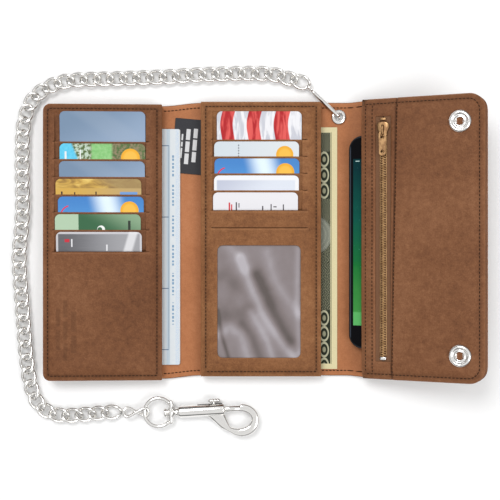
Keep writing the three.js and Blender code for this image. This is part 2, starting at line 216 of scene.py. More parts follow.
class Value:
    # a node's output that takes part in Python arithmetic
    def __init__(self, shader, socket):
        self.shader, self.socket = shader, socket

    def mathNode(self, operation, *values):
        return self.shader.node("ShaderNodeMath", {"operation": operation}, dict(enumerate(values)))

    def __add__(self, other):
        return self.mathNode("ADD", self, other)

    def __mul__(self, other):
        return self.mathNode("MULTIPLY", self, other)

    def __sub__(self, other):
        return self.mathNode("SUBTRACT", self, other)

    def __rsub__(self, other):
        return self.mathNode("SUBTRACT", other, self)

    def __truediv__(self, other):
        return self.mathNode("DIVIDE", self, other)

    def __pow__(self, other):
        return self.mathNode("POWER", self, other)

    __radd__ = __add__
    __rmul__ = __mul__

    def sine(self):
        return self.mathNode("SINE", self)

    def absolute(self):
        return self.mathNode("ABSOLUTE", self)

    def fraction(self):
        return self.mathNode("FRACT", self)

    def least(self, other):
        return self.mathNode("MINIMUM", self, other)

    def most(self, other):
        return self.mathNode("MAXIMUM", self, other)


class Shader:
    def __init__(self, name, **settings):
        self.material = bpy.data.materials.new(name)
        self.material.use_nodes = True
        self.tree = self.material.node_tree
        self.surface = self.tree.nodes["Principled BSDF"]
        for key, value in settings.items():
            self.surface.inputs[key.replace("_", " ")].default_value = value

    def node(self, kind, settings=None, inputs=None, output=0):
        made = self.tree.nodes.new(kind)
        for key, value in (settings or {}).items():
            if key == "stops":
                ramp = made.color_ramp
                while len(ramp.elements) < len(value):
                    ramp.elements.new(0.5)
                for element, (place, colour) in zip(ramp.elements, value):
                    element.position = place
                    element.color = (*colour, 1.0)
            else:
                setattr(made, key, value)
        for key, value in (inputs or {}).items():
            if isinstance(value, Value):
                self.tree.links.new(value.socket, made.inputs[key])
            else:
                made.inputs[key].default_value = value
        return Value(self, made.outputs[output])

    def place(self):
        return self.node("ShaderNodeTexCoord", output="Object")

    def flat(self):
        return self.node("ShaderNodeUVMap", {"uv_map": "UVMap"})

    def split(self, vector):
        made = self.tree.nodes.new("ShaderNodeSeparateXYZ")
        self.tree.links.new(vector.socket, made.inputs[0])
        return [Value(self, made.outputs[i]) for i in range(3)]

    def stretch(self, vector, scale, turn=0.0):
        return self.node(
            "ShaderNodeMapping", {}, {"Vector": vector, "Scale": scale, "Rotation": (0, 0, turn)}
        )

    def noise(self, vector, scale, detail=3.0, rough=0.5, warp=0.0):
        sockets = {
            "Vector": vector, "Scale": scale, "Detail": detail, "Roughness": rough, "Distortion": warp
        }
        return self.node("ShaderNodeTexNoise", {}, sockets)

    def cells(self, vector, scale):
        return self.node("ShaderNodeTexVoronoi", {}, {"Vector": vector, "Scale": scale})

    def ramp(self, factor, *stops):
        return self.node("ShaderNodeValToRGB", {"stops": stops}, {0: factor})

    def step(self, value, low, high):
        sockets = {0: value, 1: low, 2: high, 3: 0.0, 4: 1.0}
        return self.node("ShaderNodeMapRange", {"interpolation_type": "SMOOTHSTEP"}, sockets)

    def mix(self, factor, a, b, blend="MIX"):
        # colours go in as triples or as values
        full = [c if isinstance(c, Value) else (*c, 1.0) for c in (a, b)]
        settings = {"data_type": "RGBA", "blend_type": blend}
        return self.node("ShaderNodeMix", settings, {0: factor, 6: full[0], 7: full[1]}, output=2)

    def attribute(self, name):
        return self.node("ShaderNodeAttribute", {"attribute_name": name}, output="Fac")

    def bump(self, height, distance, strength=1.0):
        sockets = {"Height": height, "Distance": distance, "Strength": strength}
        return self.node("ShaderNodeBump", {}, sockets)

    def feed(self, key, value):
        self.tree.links.new(value.socket, self.surface.inputs[key])

    def done(self):
        return self.material


def leather(name, dark, middle, light, rough, grain, distress):
    # pull-up leather: cloudy tone, pores, fine creases, pale rubbed scratches, and, from the
    # wear-and-shade attribute, lighter worn edges where it is above nought and painted shade where it is
    # below nought
    s = Shader(name, Roughness=rough, Specular_IOR_Level=0.2)
    p = s.place()
    clouds = s.noise(p, 18.0, 3.0, 0.55, 0.4)
    blotch = s.noise(p, 260.0, 6.0, 0.7, 0.2)
    speck = s.noise(p, 1100.0, 4.0, 0.7)
    tone = clouds * 0.3 + blotch * 0.38 + speck * 0.32
    colour = s.ramp(tone, (0.34, dark), (0.5, middle), (0.68, light))
    hair = s.noise(s.stretch(p, (1.0, 9.0, 1.0), 0.5), 160.0, 4.0, 0.6)
    hairTwo = s.noise(s.stretch(p, (7.0, 1.0, 1.0), -0.35), 140.0, 4.0, 0.6)
    scratches = s.step(hair, 0.66, 0.76).most(s.step(hairTwo, 0.67, 0.78)) * distress
    colour = s.mix(scratches * 0.5, colour, tuple(min(1.0, c * 1.45) for c in light))
    pores = s.cells(p, 1500.0)
    colour = s.mix((1.0 - s.step(pores, 0.05, 0.3)) * 0.35, colour, tuple(c * 0.55 for c in dark))
    wear = s.attribute("wear")
    colour = s.mix(wear.most(0.0).least(1.0) * 0.55, colour, tuple(min(1.0, c * 1.25) for c in light))
    # painted shade: below nought the attribute darkens slits, seam steps, stitch grooves and the pocket
    # layers between cards
    colour = s.mix((wear * -1.0).most(0.0).least(1.0) * 0.75, colour, tuple(c * 0.35 for c in dark))
    s.feed("Base Color", colour)
    s.feed("Roughness", blotch * 0.3 + (rough - 0.15))
    creases = s.noise(p, 420.0, 6.0, 0.7, 0.6)
    height = s.step(pores, 0.0, 0.5) * 0.5 + creases * 0.8 + speck * 0.35 + scratches * 0.2
    s.feed("Normal", s.bump(height, grain * metre, 0.9))
    return s.done()


def threadMaterial(name, tone):
    s = Shader(name, Roughness=0.7, Specular_IOR_Level=0.15)
    p = s.place()
    twist = s.node("ShaderNodeTexWave", {"bands_direction": "DIAGONAL"}, {"Vector": p, "Scale": 1300.0})
    s.feed("Base Color", s.mix(twist, tuple(c * 0.6 for c in tone), tuple(min(1, c * 1.3) for c in tone)))
    s.feed("Normal", s.bump(twist, 0.1 * metre))
    return s.done()


def metalMaterial(name, tone, rough, patina=None):
    s = Shader(name, Metallic=1.0)
    p = s.place()
    haze = s.noise(p, 300.0, 4.0, 0.6)
    fine = s.noise(p, 2600.0, 2.0)
    if patina:
        s.feed("Base Color", s.mix(s.step(haze, 0.42, 0.62), tone, patina))
    else:
        s.feed("Base Color", s.mix(haze, tuple(c * 0.93 for c in tone), tone))
    s.feed("Roughness", haze * 0.1 + (rough - 0.05))
    s.feed("Normal", s.bump(haze * 0.7 + fine * 0.3, 0.015 * metre))
    return s.done()


def fabricMaterial(name, dark, light):
    s = Shader(name, Roughness=0.9, Sheen_Weight=0.3)
    x, y, _ = s.split(s.place())
    weave = ((x * 9000.0).sine() * (y * 5200.0).sine()) * 0.5 + 0.5
    fuzz = s.noise(s.place(), 1500.0, 3.0)
    s.feed("Base Color", s.mix(weave * 0.6 + fuzz * 0.4, dark, light))
    s.feed("Normal", s.bump(weave, 0.12 * metre))
    return s.done()


brown = leather(
    "distressedLeather", (0.1, 0.035, 0.013), (0.185, 0.073, 0.03), (0.28, 0.125, 0.058), 0.66, 0.16, 1.0
)
golden = leather(
    "warmLeather", (0.125, 0.045, 0.016), (0.238, 0.098, 0.037), (0.35, 0.165, 0.07), 0.66, 0.16, 1.0
)
brownOut = leather(
    "coverLeather", (0.09, 0.032, 0.012), (0.165, 0.065, 0.027), (0.26, 0.115, 0.053), 0.62, 0.18, 1.0
)
tan = leather(
    "smoothLining", (0.33, 0.12, 0.045), (0.42, 0.16, 0.064), (0.5, 0.21, 0.095), 0.55, 0.05, 0.15
)
edgePaint = leather(
    "cutEdges", (0.07, 0.03, 0.016), (0.13, 0.06, 0.03), (0.24, 0.12, 0.06), 0.75, 0.12, 0.2
)
thread = threadMaterial("waxedThread", (0.05, 0.022, 0.011))
nickel = metalMaterial("brightNickel", (0.9, 0.885, 0.86), 0.13)
# painted shade: a dark metal for the insides of slots and holes
paintedHoleShade = metalMaterial("boreShadow", (0.07, 0.06, 0.055), 0.5)
brass = metalMaterial("antiqueBrass", (0.42, 0.25, 0.12), 0.36, (0.26, 0.145, 0.07))
coil = metalMaterial("bronzeCoil", (0.62, 0.4, 0.2), 0.45, (0.46, 0.28, 0.13))
tape = fabricMaterial("zipperTape", (0.11, 0.047, 0.02), (0.23, 0.105, 0.046))
print("materials ready")

cameraPlace = {"x": -7.0, "y": -7.0, "height": 600.0, "fieldWidth": 318.0, "fieldHeight": 11.5}


def addCamera():
    data = bpy.data.cameras.new("camera")
    data.sensor_width = 36.0
    data.lens = 36.0 * (cameraPlace["height"] - cameraPlace["fieldHeight"]) / cameraPlace["fieldWidth"]
    data.clip_start = 0.01
    camera = bpy.data.objects.new("camera", data)
    camera.location = [cameraPlace[k] * metre for k in ("x", "y", "height")]
    bpy.context.collection.objects.link(camera)
    bpy.context.scene.camera = camera


def addLight(name, place, aim, size, power):
    data = bpy.data.lights.new(name, "AREA")
    data.shape = "DISK"
    data.size = size
    data.energy = power
    light = bpy.data.objects.new(name, data)
    light.location = place
    direction = np.asarray(aim, dtype=float) - np.asarray(place, dtype=float)
    light.rotation_euler = Vector(direction).to_track_quat("-Z", "Y").to_euler()
    bpy.context.collection.objects.link(light)


addCamera()

chainShape = {
    "middle": 2.7, "wire": 1.14, "wide": 10.4, "pitch": 8.5, "overlap": 3.9, "twist": 39.0, "rings": 32,
    "sides": 10
}
chainRoute = [
    (31.4, 98.9), (27.2, 100.9), (17.9, 103.7), (8, 106.2), (-7, 106.9), (
        -24.4, 106.6
    ), (-41.9, 106), (-59.6, 104.8),
    (-77.4, 104.1), (-94.8, 103.5), (
        -112.3, 103.1
    ), (-124, 102.2), (-134, 99.6), (-142, 95.2), (-147.6, 89.4),
    (
        -151.2, 81.8
    ), (-153.3, 72), (-154, 56), (-154, 38.8), (-153.8, 21.7), (-154.6, 6), (-156, -11), (-155.3, -27),
    (-154, -44), (-152.8, -60), (-151.4, -76), (-149, -92), (-145, -104), (-138, -111), (
        -129, -113.6
    ), (-113, -113),
    (-100, -111.8), (-89.8, -111.3),
]


def smoothRoute(points, step=0.5):
    # a centripetal curve through the points, at even steps
    points = np.asarray([(x, y, chainShape["middle"]) for x, y in points], dtype=float)
    padded = np.vstack([2 * points[0] - points[1], points, 2 * points[-1] - points[-2]])
    pieces = []
    for i in range(len(points) - 1):
        p0, p1, p2, p3 = padded[i : i + 4]
        t1 = np.linalg.norm(p1 - p0) ** 0.5
        t2 = t1 + np.linalg.norm(p2 - p1) ** 0.5
        t3 = t2 + np.linalg.norm(p3 - p2) ** 0.5
        t = np.linspace(t1, t2, 24, endpoint=False)[:, None]
        a1 = (t1 - t) / t1 * p0 + t / t1 * p1
        a2 = (t2 - t) / (t2 - t1) * p1 + (t - t1) / (t2 - t1) * p2
        a3 = (t3 - t) / (t3 - t2) * p2 + (t - t2) / (t3 - t2) * p3
        b1 = (t2 - t) / t2 * a1 + t / t2 * a2
        b2 = (t3 - t) / (t3 - t1) * a2 + (t - t1) / (t3 - t1) * a3
        pieces.append((t2 - t) / (t2 - t1) * b1 + (t - t1) / (t2 - t1) * b2)
    fine = np.vstack(pieces + [points[-1:]])
    run = np.concatenate([[0], np.cumsum(np.linalg.norm(np.diff(fine, axis=0), axis=1))])
    even = np.linspace(0, run[-1], int(run[-1] / step) + 1)
    return np.stack([np.interp(even, run, fine[:, k]) for k in range(3)], axis=1), run[-1]


def buildChain():
    # each link is an oval wire whose plane twists along its length, so one link's end stands across the
    # next one's
    route, length = smoothRoute(chainRoute)
    wire, reach = chainShape["wire"], (chainShape["pitch"] + chainShape["overlap"]) / 2
    half = chainShape["wide"] / 2 - wire
    count = round((length - 2.0) / chainShape["pitch"])
    run = np.linspace(0, length, len(route))
    centres = np.linspace(reach + 0.4, length - reach - 0.2, count)
    t = np.arange(chainShape["rings"]) * 2 * math.pi / chainShape["rings"]
    along, across = reach * np.cos(t), half * np.sign(np.sin(t)) * np.abs(np.sin(t)) ** 0.86
    parts = []
    for i, centre in enumerate(centres):
        place = np.array([np.interp(centre, run, route[:, k]) for k in range(3)])
        ahead = np.array([np.interp(centre + 3, run, route[:, k]) for k in range(3)])
        behind = np.array([np.interp(centre - 3, run, route[:, k]) for k in range(3)])
        forward = (ahead - behind) / np.linalg.norm(ahead - behind)
        side = np.array([-forward[1], forward[0], 0.0])
        roll = math.radians(rng.uniform(-5, 5))
        tilt = math.radians(chainShape["twist"]) * np.cos(t) + roll
        lift = np.array([0, 0, 1.0])
        path = place + along[:, None] * forward + (across * np.cos(tilt))[:, None] * side
        path = path + (across * np.sin(tilt))[:, None] * lift
        up = side * math.sin(-roll) + lift * math.cos(roll)
        parts.append(tubeParts(path, wire, sides=chainShape["sides"], closed=True, up=up))
    chain = gather("curb_chain", parts, nickel, "centre_section")
    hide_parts("chain_run")
    return chain, route, length


def buildConnector():
    # a flattened bar from the first chain link, hooked down through the eyelet
    low, high = flatBox("connector_link")
    eyeLow, eyeHigh = flatBox("chain_eyelet")
    eye = (eyeLow + eyeHigh) / 2
    start = np.array([low[0] + 1.0, high[1] - 1.0, 3.9])
    direction = np.array([eye[0], eye[1], 3.9]) - start
    length = np.linalg.norm(direction)
    direction /= length
    t = np.linspace(0, 1, 30)[:, None]
    straight = start + direction * (length - 2.2) * t
    bend = np.linspace(0, math.pi / 2, 10)[1:, None]
    curve = straight[-1] + direction * 1.9 * np.sin(bend) - np.array([0, 0, 1.0]) * 1.9 * (
        1 - np.cos(bend)
    )
    drop = curve[-1] - np.array([0, 0, 1.0]) * np.array([[0.4], [0.9]])
    path = np.vstack([straight, curve, drop])
    radii = np.full(len(path), 1.35)
    radii[:3] = [0.9, 1.2, 1.35]
    side = np.cross(direction, (0, 0, 1.0))
    points, faces = tubeParts(path, radii, sides=16, flat=0.95, up=side)
    # the near end is bent round into an eye that holds the first link
    turn = np.linspace(0.15, 2 * math.pi - 0.3, 26)[:, None]
    middle = start - direction * 2.2
    ring = middle + direction * 2.4 * np.cos(turn) + np.array([0, 0, 1.0]) * 2.0 * np.sin(turn)
    ring[:, 2] = np.maximum(ring[:, 2], 0.9)
    bar = gather(
        "connector_bar", [(points, faces), tubeParts(ring, 0.8, sides=12, up=side)], nickel,
        "centre_section"
    )
    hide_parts("connector_link")
    return bar


hookShape = {
    "pivotX": -58.0, "y": -111.5, "z": 4.2, "tilt": 3.5, "barrel": 3.9, "bore": 2.5, "bolt": 1.85
}


def hookFrame(points):
    # hook-local points, X along the barrel from the swivel, to the lying place
    a = math.radians(hookShape["tilt"])
    points = np.asarray(points, dtype=float)
    x, y = points[..., 0], points[..., 1]
    return np.stack(
        [
            hookShape["pivotX"] + x * math.cos(a) - y * math.sin(a),
            hookShape["y"] + x * math.sin(a) + y * math.cos(a),
            hookShape["z"] + points[..., 2],
        ],
        axis=-1,
    )


def buildFigureEight():
    # one wire bent into two loops that cross at the waist; the chain's end and the swivel ring each hold
    # a loop
    low, high = flatBox("figure_eight_link")
    centre = (low + high) / 2
    wire, reach, half = 1.05, (high[0] - low[0]) / 2 - 1.05, 2.75
    t = np.arange(72) * 2 * math.pi / 72
    along = reach * np.sign(np.cos(t)) * np.abs(np.cos(t)) ** 0.9
    across = half * np.sin(2 * t)
    path = np.stack(
        [centre[0] + along, centre[1] + across, hookShape["z"] + 1.15 * np.sin(t) - 0.25], axis=1
    )
    points, faces = tubeParts(path, wire, sides=14, closed=True, up=(0.02, 0.03, 1.0))
    link = makeObject("twisted_link", points, faces, nickel, "figure_eight_link")
    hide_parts("figure_eight_link")
    return link


def buildSwivelRing():
    low, high = flatBox("swivel_ring")
    radius, wire = 9.1, 1.3
    centre = np.array([low[0] + 1.2 + radius, (low[1] + high[1]) / 2, hookShape["z"]])
    barX = high[0] - 1.5
    half = 7.2
    open_ = math.atan2(half, barX - centre[0])
    a = np.linspace(open_, 2 * math.pi - open_, 60)
    loop = np.stack(
        [centre[0] + radius * np.cos(a), centre[1] + radius * np.sin(a), np.full(60, centre[2])], axis=1
    )
    parts = [tubeParts(loop, wire, sides=14)]
    y = np.linspace(-half - 0.3, half + 0.3, 30)
    bar = np.stack([np.full(30, barX), centre[1] + y, np.full(30, centre[2])], axis=1)
    swell = 1.55 + 0.65 * np.exp(-((y / 2.6) ** 2)) - 0.5 * smooth((np.abs(y) - half + 1.2) / 1.5)
    parts.append(tubeParts(bar, swell, sides=16, up=(0, 0, 1)))
    ring = gather("swivel_loop", parts, nickel, "swivel_ring")
    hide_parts("swivel_ring")
    return ring


def buildHookBody():
    b, bore = hookShape["barrel"], hookShape["bore"]
    barrel = [
        (0, 6.4), (bore, 6.4), (bore, 34.5), (b - 0.35, 34.6), (b - 0.05, 34.3), (b, 33.6), (b, 6.5),
        (b - 0.1, 5.6), (b - 0.5, 5.0), (b - 0.9, 4.8), (b - 1.3, 4.4), (b - 1.3, 3.4), (b - 0.7, 3.1),
        (0, 3.05),
    ]
    parts = []
    points, faces = turnedParts(barrel, (0, 0, 0), steps=48, axis="x")
    parts.append((hookFrame(points), faces))
    stud = [
        (0, -4.5), (2.2, -4.4), (2.9, -3.9), (3.05, -3.2), (2.7, -2.6), (1.45, -2.45), (1.4, 3.6),
        (0, 3.7)
    ]
    points, faces = turnedParts(stud, (0, 0, 0), steps=32, axis="x")
    parts.append((hookFrame(points), faces))
    # the jaw leaves the barrel's underside, swells round the opening and tapers up to the bolt's tip
    turn = np.linspace(math.radians(203), math.radians(452), 64)
    outX, outY = 45.5 + 11.2 * np.cos(turn), -7.8 + 10.5 * np.sin(turn)
    inX, inY = 43.3 + 8.2 * np.cos(turn - 0.06), -7.3 + 5.4 * np.sin(turn - 0.06)
    outer, inner = np.stack([outX, outY], 1), np.stack([inX, inY], 1)
    neckOut = np.array([[20.5, -2.2], [24, -4.3], [28, -8.3], [31.6, -12.2]])
    neckIn = np.array([[26.5, -1.6], [31, -1.9], [34.3, -2.6], [35.3, -4.6]])
    outer = np.vstack([neckOut, outer[6:]])
    inner = np.vstack([neckIn, inner[6:]])
    middle, width = (outer + inner) / 2, np.linalg.norm(outer - inner, axis=1) / 2
    normal = (outer - inner) / (2 * width)[:, None]
    thick = 2.35 - 0.55 * np.linspace(0, 1, len(middle)) ** 2
    sides = 16
    a = np.arange(sides) * 2 * math.pi / sides
    ca = np.sign(np.cos(a)) * np.abs(np.cos(a)) ** 0.75
    sa = np.sign(np.sin(a)) * np.abs(np.sin(a)) ** 0.75
    grid = np.zeros((len(middle), sides, 3))
    grid[..., :2] = middle[:, None, :] + normal[:, None, :] * (width[:, None] * ca[None, :])[..., None]
    grid[..., 2] = thick[:, None] * sa[None, :]
    points = np.vstack([grid.reshape(-1, 3), [[*middle[0], 0]], [[*middle[-1], 0]]])
    faces = gridFaces(len(middle), sides, closeColumns=True).tolist()
    first, last = len(middle) * sides, len(middle) * sides + 1
    for i in range(sides):
        j = (i + 1) % sides
        faces.append((first, j, i))
        faces.append((last, first - sides + i, first - sides + j))
    parts.append((hookFrame(points), faces))
    body = gather("hook_casting", parts, nickel, "hook_body")
    finishMesh(body)
    # the thumb slot's mouth on the barrel's side: a dark sheet, painted shade in the slot
    x = np.linspace(17.5, 33.5, 20)
    ang = np.linspace(math.radians(68), math.radians(112), 7)
    X, A = np.meshgrid(x, ang, indexing="ij")
    pts = np.stack([X, (b + 0.03) * np.sin(A), (b + 0.03) * np.cos(A)], axis=-1).reshape(-1, 3)
    slotFaces = [tuple(f[::-1]) for f in gridFaces(20, 7).tolist()]
    slot = makeObject("thumb_slot", hookFrame(pts), slotFaces, paintedHoleShade, "hook_body")
    finishMesh(slot, thickness=0.05, merge=False)
    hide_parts("hook_body")
    return [body, slot]


def buildTrigger():
    r = hookShape["bolt"]
    bolt = [(0, 22), (r, 22), (r, 44.3), (r - 0.35, 44.8), (0, 44.9)]
    points, faces = turnedParts(bolt, (0, 0, 0), steps=32, axis="x")
    parts = [(hookFrame(points), faces)]
    post = np.stack([np.full(8, 27.8), np.linspace(0.5, 5.6, 8), np.zeros(8)], axis=1)
    points, faces = tubeParts(post, 0.95, sides=12, up=(0, 0, 1))
    parts.append((hookFrame(points), faces))
    # thumb pad: a ribbed lozenge that rides above the barrel
    x = np.linspace(24.4, 32.4, 33)
    high = 1.15 + 0.16 * np.cos((x - 24.4) * 2 * math.pi / 1.6)
    ease = np.sqrt(np.clip(1 - ((x - 28.4) / 4.0) ** 6, 0, 1)) * 0.97 + 0.03
    path = np.stack([x, np.full(33, 6.1), np.zeros(33)], axis=1)
    points, faces = tubeParts(path, 1.9 * ease, sides=18, up=(0, 1, 0))
    points = np.asarray(points)
    rib = np.interp(points[:, 0], x, high)
    points[:, 1] = 6.1 + (points[:, 1] - 6.1) * 0.55 * rib
    parts.append((hookFrame(points), faces))
    trigger = gather("thumb_bolt", parts, nickel, "trigger_bolt")
    finishMesh(trigger)
    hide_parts("trigger_bolt")
    return trigger


chain, route, chainLength = buildChain()
connector = buildConnector()
twistedLink = buildFigureEight()
swivelLoop = buildSwivelRing()
hookPieces = buildHookBody()
trigger = buildTrigger()
print("chain and hook ready", round(chainLength, 1))


def linesOf(low, high, step, *marks):
    # grid lines from low to high, with close ones beside each mark so that edges there can be rounded
    lines = list(np.linspace(low, high, max(2, int(round((high - low) / step)) + 1)))
    for mark in (low, high, *marks):
        for offset in (0.0, 0.3, -0.3, 0.8, -0.8, 1.5, -1.5):
            lines.append(mark + offset)
    lines = np.array(sorted(v for v in lines if low - 1e-6 <= v <= high + 1e-6))
    kept, fixed = [], {low, high, *marks}
    for value in lines:
        if kept and value - kept[-1] < 0.24:
            if any(abs(value - f) < 1e-6 for f in fixed):
                kept[-1] = value
            continue
        kept.append(value)
    return np.array(kept)


def roundCorners(x, y, box, radii):
    # moves a rectangle's grid points so that its four corners follow arcs; radii go left low, right low,
    # right high, left high
    x0, x1, y0, y1 = box
    x, y = x.copy(), y.copy()
    corners = [(x0, y0, 1, 1), (x1, y0, -1, 1), (x1, y1, -1, -1), (x0, y1, 1, -1)]
    for (cx, cy, sx, sy), r in zip(corners, radii):
        if not r:
            continue
        u = (cx + sx * r - x) * sx / r
        v = (cy + sy * r - y) * sy / r
        inside = (u > 0) & (v > 0)
        u2, v2 = u * np.sqrt(1 - np.clip(v, 0, 1) ** 2 / 2), v * np.sqrt(1 - np.clip(u, 0, 1) ** 2 / 2)
        x = np.where(inside, cx + sx * r - u2 * r * sx, x)
        y = np.where(inside, cy + sy * r - v2 * r * sy, y)
    return x, y


def edgeDistance(x, y, box):
    x0, x1, y0, y1 = box
    return np.minimum(np.minimum(x - x0, x1 - x), np.minimum(y - y0, y1 - y))


def holeDistance(x, y, hole):
    # how far outside a rectangle a point is
    x0, x1, y0, y1 = hole
    dx = np.maximum(np.maximum(x0 - x, x - x1), 0)
    dy = np.maximum(np.maximum(y0 - y, y - y1), 0)
    return np.hypot(dx, dy)


def roundHole(x, y, hole, radius):
    # moves grid points outside a rectangular hole's corners inwards, so that the corners follow arcs
    x, y = x.copy(), y.copy()
    x0, x1, y0, y1 = hole
    for cx, cy, sx, sy in ((x0, y0, 1, 1), (x1, y0, -1, 1), (x1, y1, -1, -1), (x0, y1, 1, -1)):
        across, up = (x - cx) * sx, (y - cy) * sy
        # distance along the boundary from the corner, and how far outside the hole
        far = np.maximum(across, up)
        outside = np.maximum(-np.minimum(across, up), 0)
        near = np.clip(1 - far / radius, 0, 1) * (far > -radius)
        push = (1 - 1 / math.sqrt(2)) * radius * near**2 * np.clip(1 - outside / (1.6 * radius), 0, 1)
        x, y = x + sx * push, y + sy * push
    return x, y


def sheetObject(
    name, xs, ys, box, radii, height, thickness, holes, material, section, body, wear=None, soft=None
):
    # a leather sheet: height(x, y) over a grid of lines, with rectangular holes, given its thickness
    # below
    X, Y = np.meshgrid(xs, ys, indexing="xy")
    Z = height(X, Y)
    midX, midY = (X[:-1, :-1] + X[1:, 1:]) / 2, (Y[:-1, :-1] + Y[1:, 1:]) / 2
    keep = np.ones(midX.shape, dtype=bool)
    for x0, x1, y0, y1 in holes:
        keep &= ~((midX > x0) & (midX < x1) & (midY > y0) & (midY < y1))
    # wear and painted shade per point: lighter worn places above nought, painted shade below nought
    wornAndShaded = wear(X, Y) if wear is not None else np.zeros(X.shape)
    X2, Y2 = roundCorners(X, Y, box, radii)
    if soft is not None:
        X2, Y2 = roundHole(X2, Y2, *soft)
    flat = np.stack([X2, Y2, Z], axis=-1).reshape(-1, 3)
    faces = gridFaces(len(ys), len(xs), keep=keep)
    used = np.unique(faces)
    remap = np.full(len(flat), -1)
    remap[used] = np.arange(len(used))
    placed = lay(flat, section)[used]
    obj = makeObject(
        name, placed, remap[faces].tolist(), material, body, attributes={"wear": wornAndShaded.reshape(-1)[used]}
    )
    finishMesh(obj, thickness=thickness, merge=False)
    return obj


def wallRing(name, box, radii, top, bottoms, material, section, body, layers=4, deep=1.6):
    # stacked, cut leather edges round a panel: a ribbed wall from each side's bottom height up to the
    # panel's rim
    x0, x1, y0, y1 = box
    pts, sideOf = [], []
    corners = [(x0, y0, 180, 270), (x1, y0, 270, 360), (x1, y1, 0, 90), (x0, y1, 90, 180)]
    for i, ((cx, cy, a0, a1), r) in enumerate(zip(corners, radii)):
        r = max(r, 0.35)
        mx, my = cx + (r if cx == x0 else -r), cy + (r if cy == y0 else -r)
        a = np.radians(np.linspace(a0, a1, 9 if r > 1 else 4))
        arc = np.stack([mx + r * np.cos(a), my + r * np.sin(a)], axis=1)
        pts.append(arc)
        sideOf += [i] * len(arc)
        nx, ny = corners[(i + 1) % 4][:2]
        rn = max(radii[(i + 1) % 4], 0.35)
        length = math.hypot(nx - cx, ny - cy) - r - rn
        along = np.array([nx - cx, ny - cy]) / math.hypot(nx - cx, ny - cy)
        t = np.linspace(0, length, max(3, int(length / 5)) + 1)[1:-1]
        pts.append(arc[-1] + along * t[:, None])
        sideOf += [i] * len(t)
    line = np.vstack(pts)
    tangent = np.roll(line, -1, axis=0) - np.roll(line, 1, axis=0)
    tangent /= np.linalg.norm(tangent, axis=1)[:, None]
    outward = np.stack([tangent[:, 1], -tangent[:, 0]], axis=1)
    # sides run: 0 bottom, 1 right, 2 top, 3 left
    low = np.array([bottoms[i] for i in sideOf], dtype=float)
    profile = []
    for n in range(layers):
        f0, f1 = n / layers, (n + 1) / layers
        profile += [
            (f0 + 0.02, 0.34), (f0 + 0.06, 0.08), ((f0 + f1) / 2, 0.0), (f1 - 0.06, 0.08),
            (f1 - 0.02, 0.34)
        ]
    wobble = wave(line[:, 0], line[:, 1], 5, 40) * 0.1
    rows = []
    for share, inset in profile:
        z = low + (top - low) * share
        rows.append(np.column_stack([line - outward * (inset + 0.1 + wobble[:, None] * 0.5 + 0.08), z]))
    rows.append(np.column_stack([line - outward * deep, np.full(len(line), top - 0.1)]))
    rows.append(np.column_stack([line - outward * deep, low + 0.1]))
    points = np.stack(rows).reshape(-1, 3)
    faces = gridFaces(len(rows), len(line), closeRows=True, closeColumns=True).tolist()
    obj = makeObject(name, lay(points, section), faces, material, body)
    finishMesh(obj)
    return obj


def stitchRow(points, pitch=2.35, length=1.65, thick=0.3, spread=0.0):
    # capsules laid end to end along a line of points, each dipping into the leather at its ends
    points = np.asarray(points, dtype=float)
    run = np.concatenate([[0], np.cumsum(np.linalg.norm(np.diff(points, axis=0), axis=1))])
    count = int(run[-1] / pitch)
    parts = []
    start = (run[-1] - (count - 1) * pitch) / 2
    for i in range(count):
        centre = start + i * pitch
        t = np.linspace(-length / 2, length / 2, 7)
        at = np.stack([np.interp(centre + t, run, points[:, k]) for k in range(3)], axis=1)
        s = np.abs(t) / (length / 2)
        at[:, 2] += 0.16 - 0.42 * s**3
        if spread:
            across = np.cross(at[-1] - at[0], (0, 0, 1.0))
            across /= np.linalg.norm(across)
            at += across * (t / length)[:, None] * spread
        radius = thick * (1 - 0.45 * s**4)
        parts.append(tubeParts(at, radius, sides=6))
    return parts


def addStitches(name, rows, section, body, **shape):
    parts = []
    for row in rows:
        parts += stitchRow(row, **shape)
    obj = gather(name, parts, thread, body, section)
    return obj


def lineOver(height, ends, step=1.0, raise_=0.0):
    # points from one place to another that follow a surface's height
    (xa, ya), (xb, yb) = ends
    count = max(2, int(math.hypot(xb - xa, yb - ya) / step))
    x, y = np.linspace(xa, xb, count), np.linspace(ya, yb, count)
    return np.stack([x, y, height(x, y) + raise_], axis=1)


def roundedLoop(height, box, radii, step=1.0):
    # a closed line just inside a panel's edge
    x0, x1, y0, y1 = box
    pts = []
    for (cx, cy, a0, a1), r in zip(
        [(x0, y0, 180, 270), (x1, y0, 270, 360), (x1, y1, 0, 90), (x0, y1, 90, 180)], radii
    ):
        r = max(r, 0.2)
        mx, my = cx + (r if cx == x0 else -r), cy + (r if cy == y0 else -r)
        for a in np.radians(np.linspace(a0, a1, 7)):
            pts.append((mx + r * math.cos(a), my + r * math.sin(a)))
    pts.append(pts[0])
    rows = [
        lineOver(height, (p, q), step) for p, q in zip(pts, pts[1:])
        if math.hypot(p[0] - q[0], p[1] - q[1]) > 0.05
    ]
    return np.vstack([r[:-1] for r in rows])


panelShape = {"edgeDrop": 2.3, "edgeWide": 9.0, "rim": 1.5, "thick": 1.1, "stitchIn": 3.2, "lip": 0.87}


def panelBox(node, section):
    low, high = flatBox(node, section)
    return (low[0], high[0], low[1], high[1]), high[2]


def cardRows(side, count, section):
    # each card's left, right, top edge and the height of its face's top edge, in its section's flat place
    rows = []
    for i in range(1, count + 1):
        low, high = flatBox(f"{side}_card_{i}", section)
        sides = {"left": low[0], "right": high[0], "top": high[1]}
        rows.append({**sides, "face": high[2], "node": f"{side}_card_{i}"})
    return rows


slant = math.tan(math.radians(5.0))


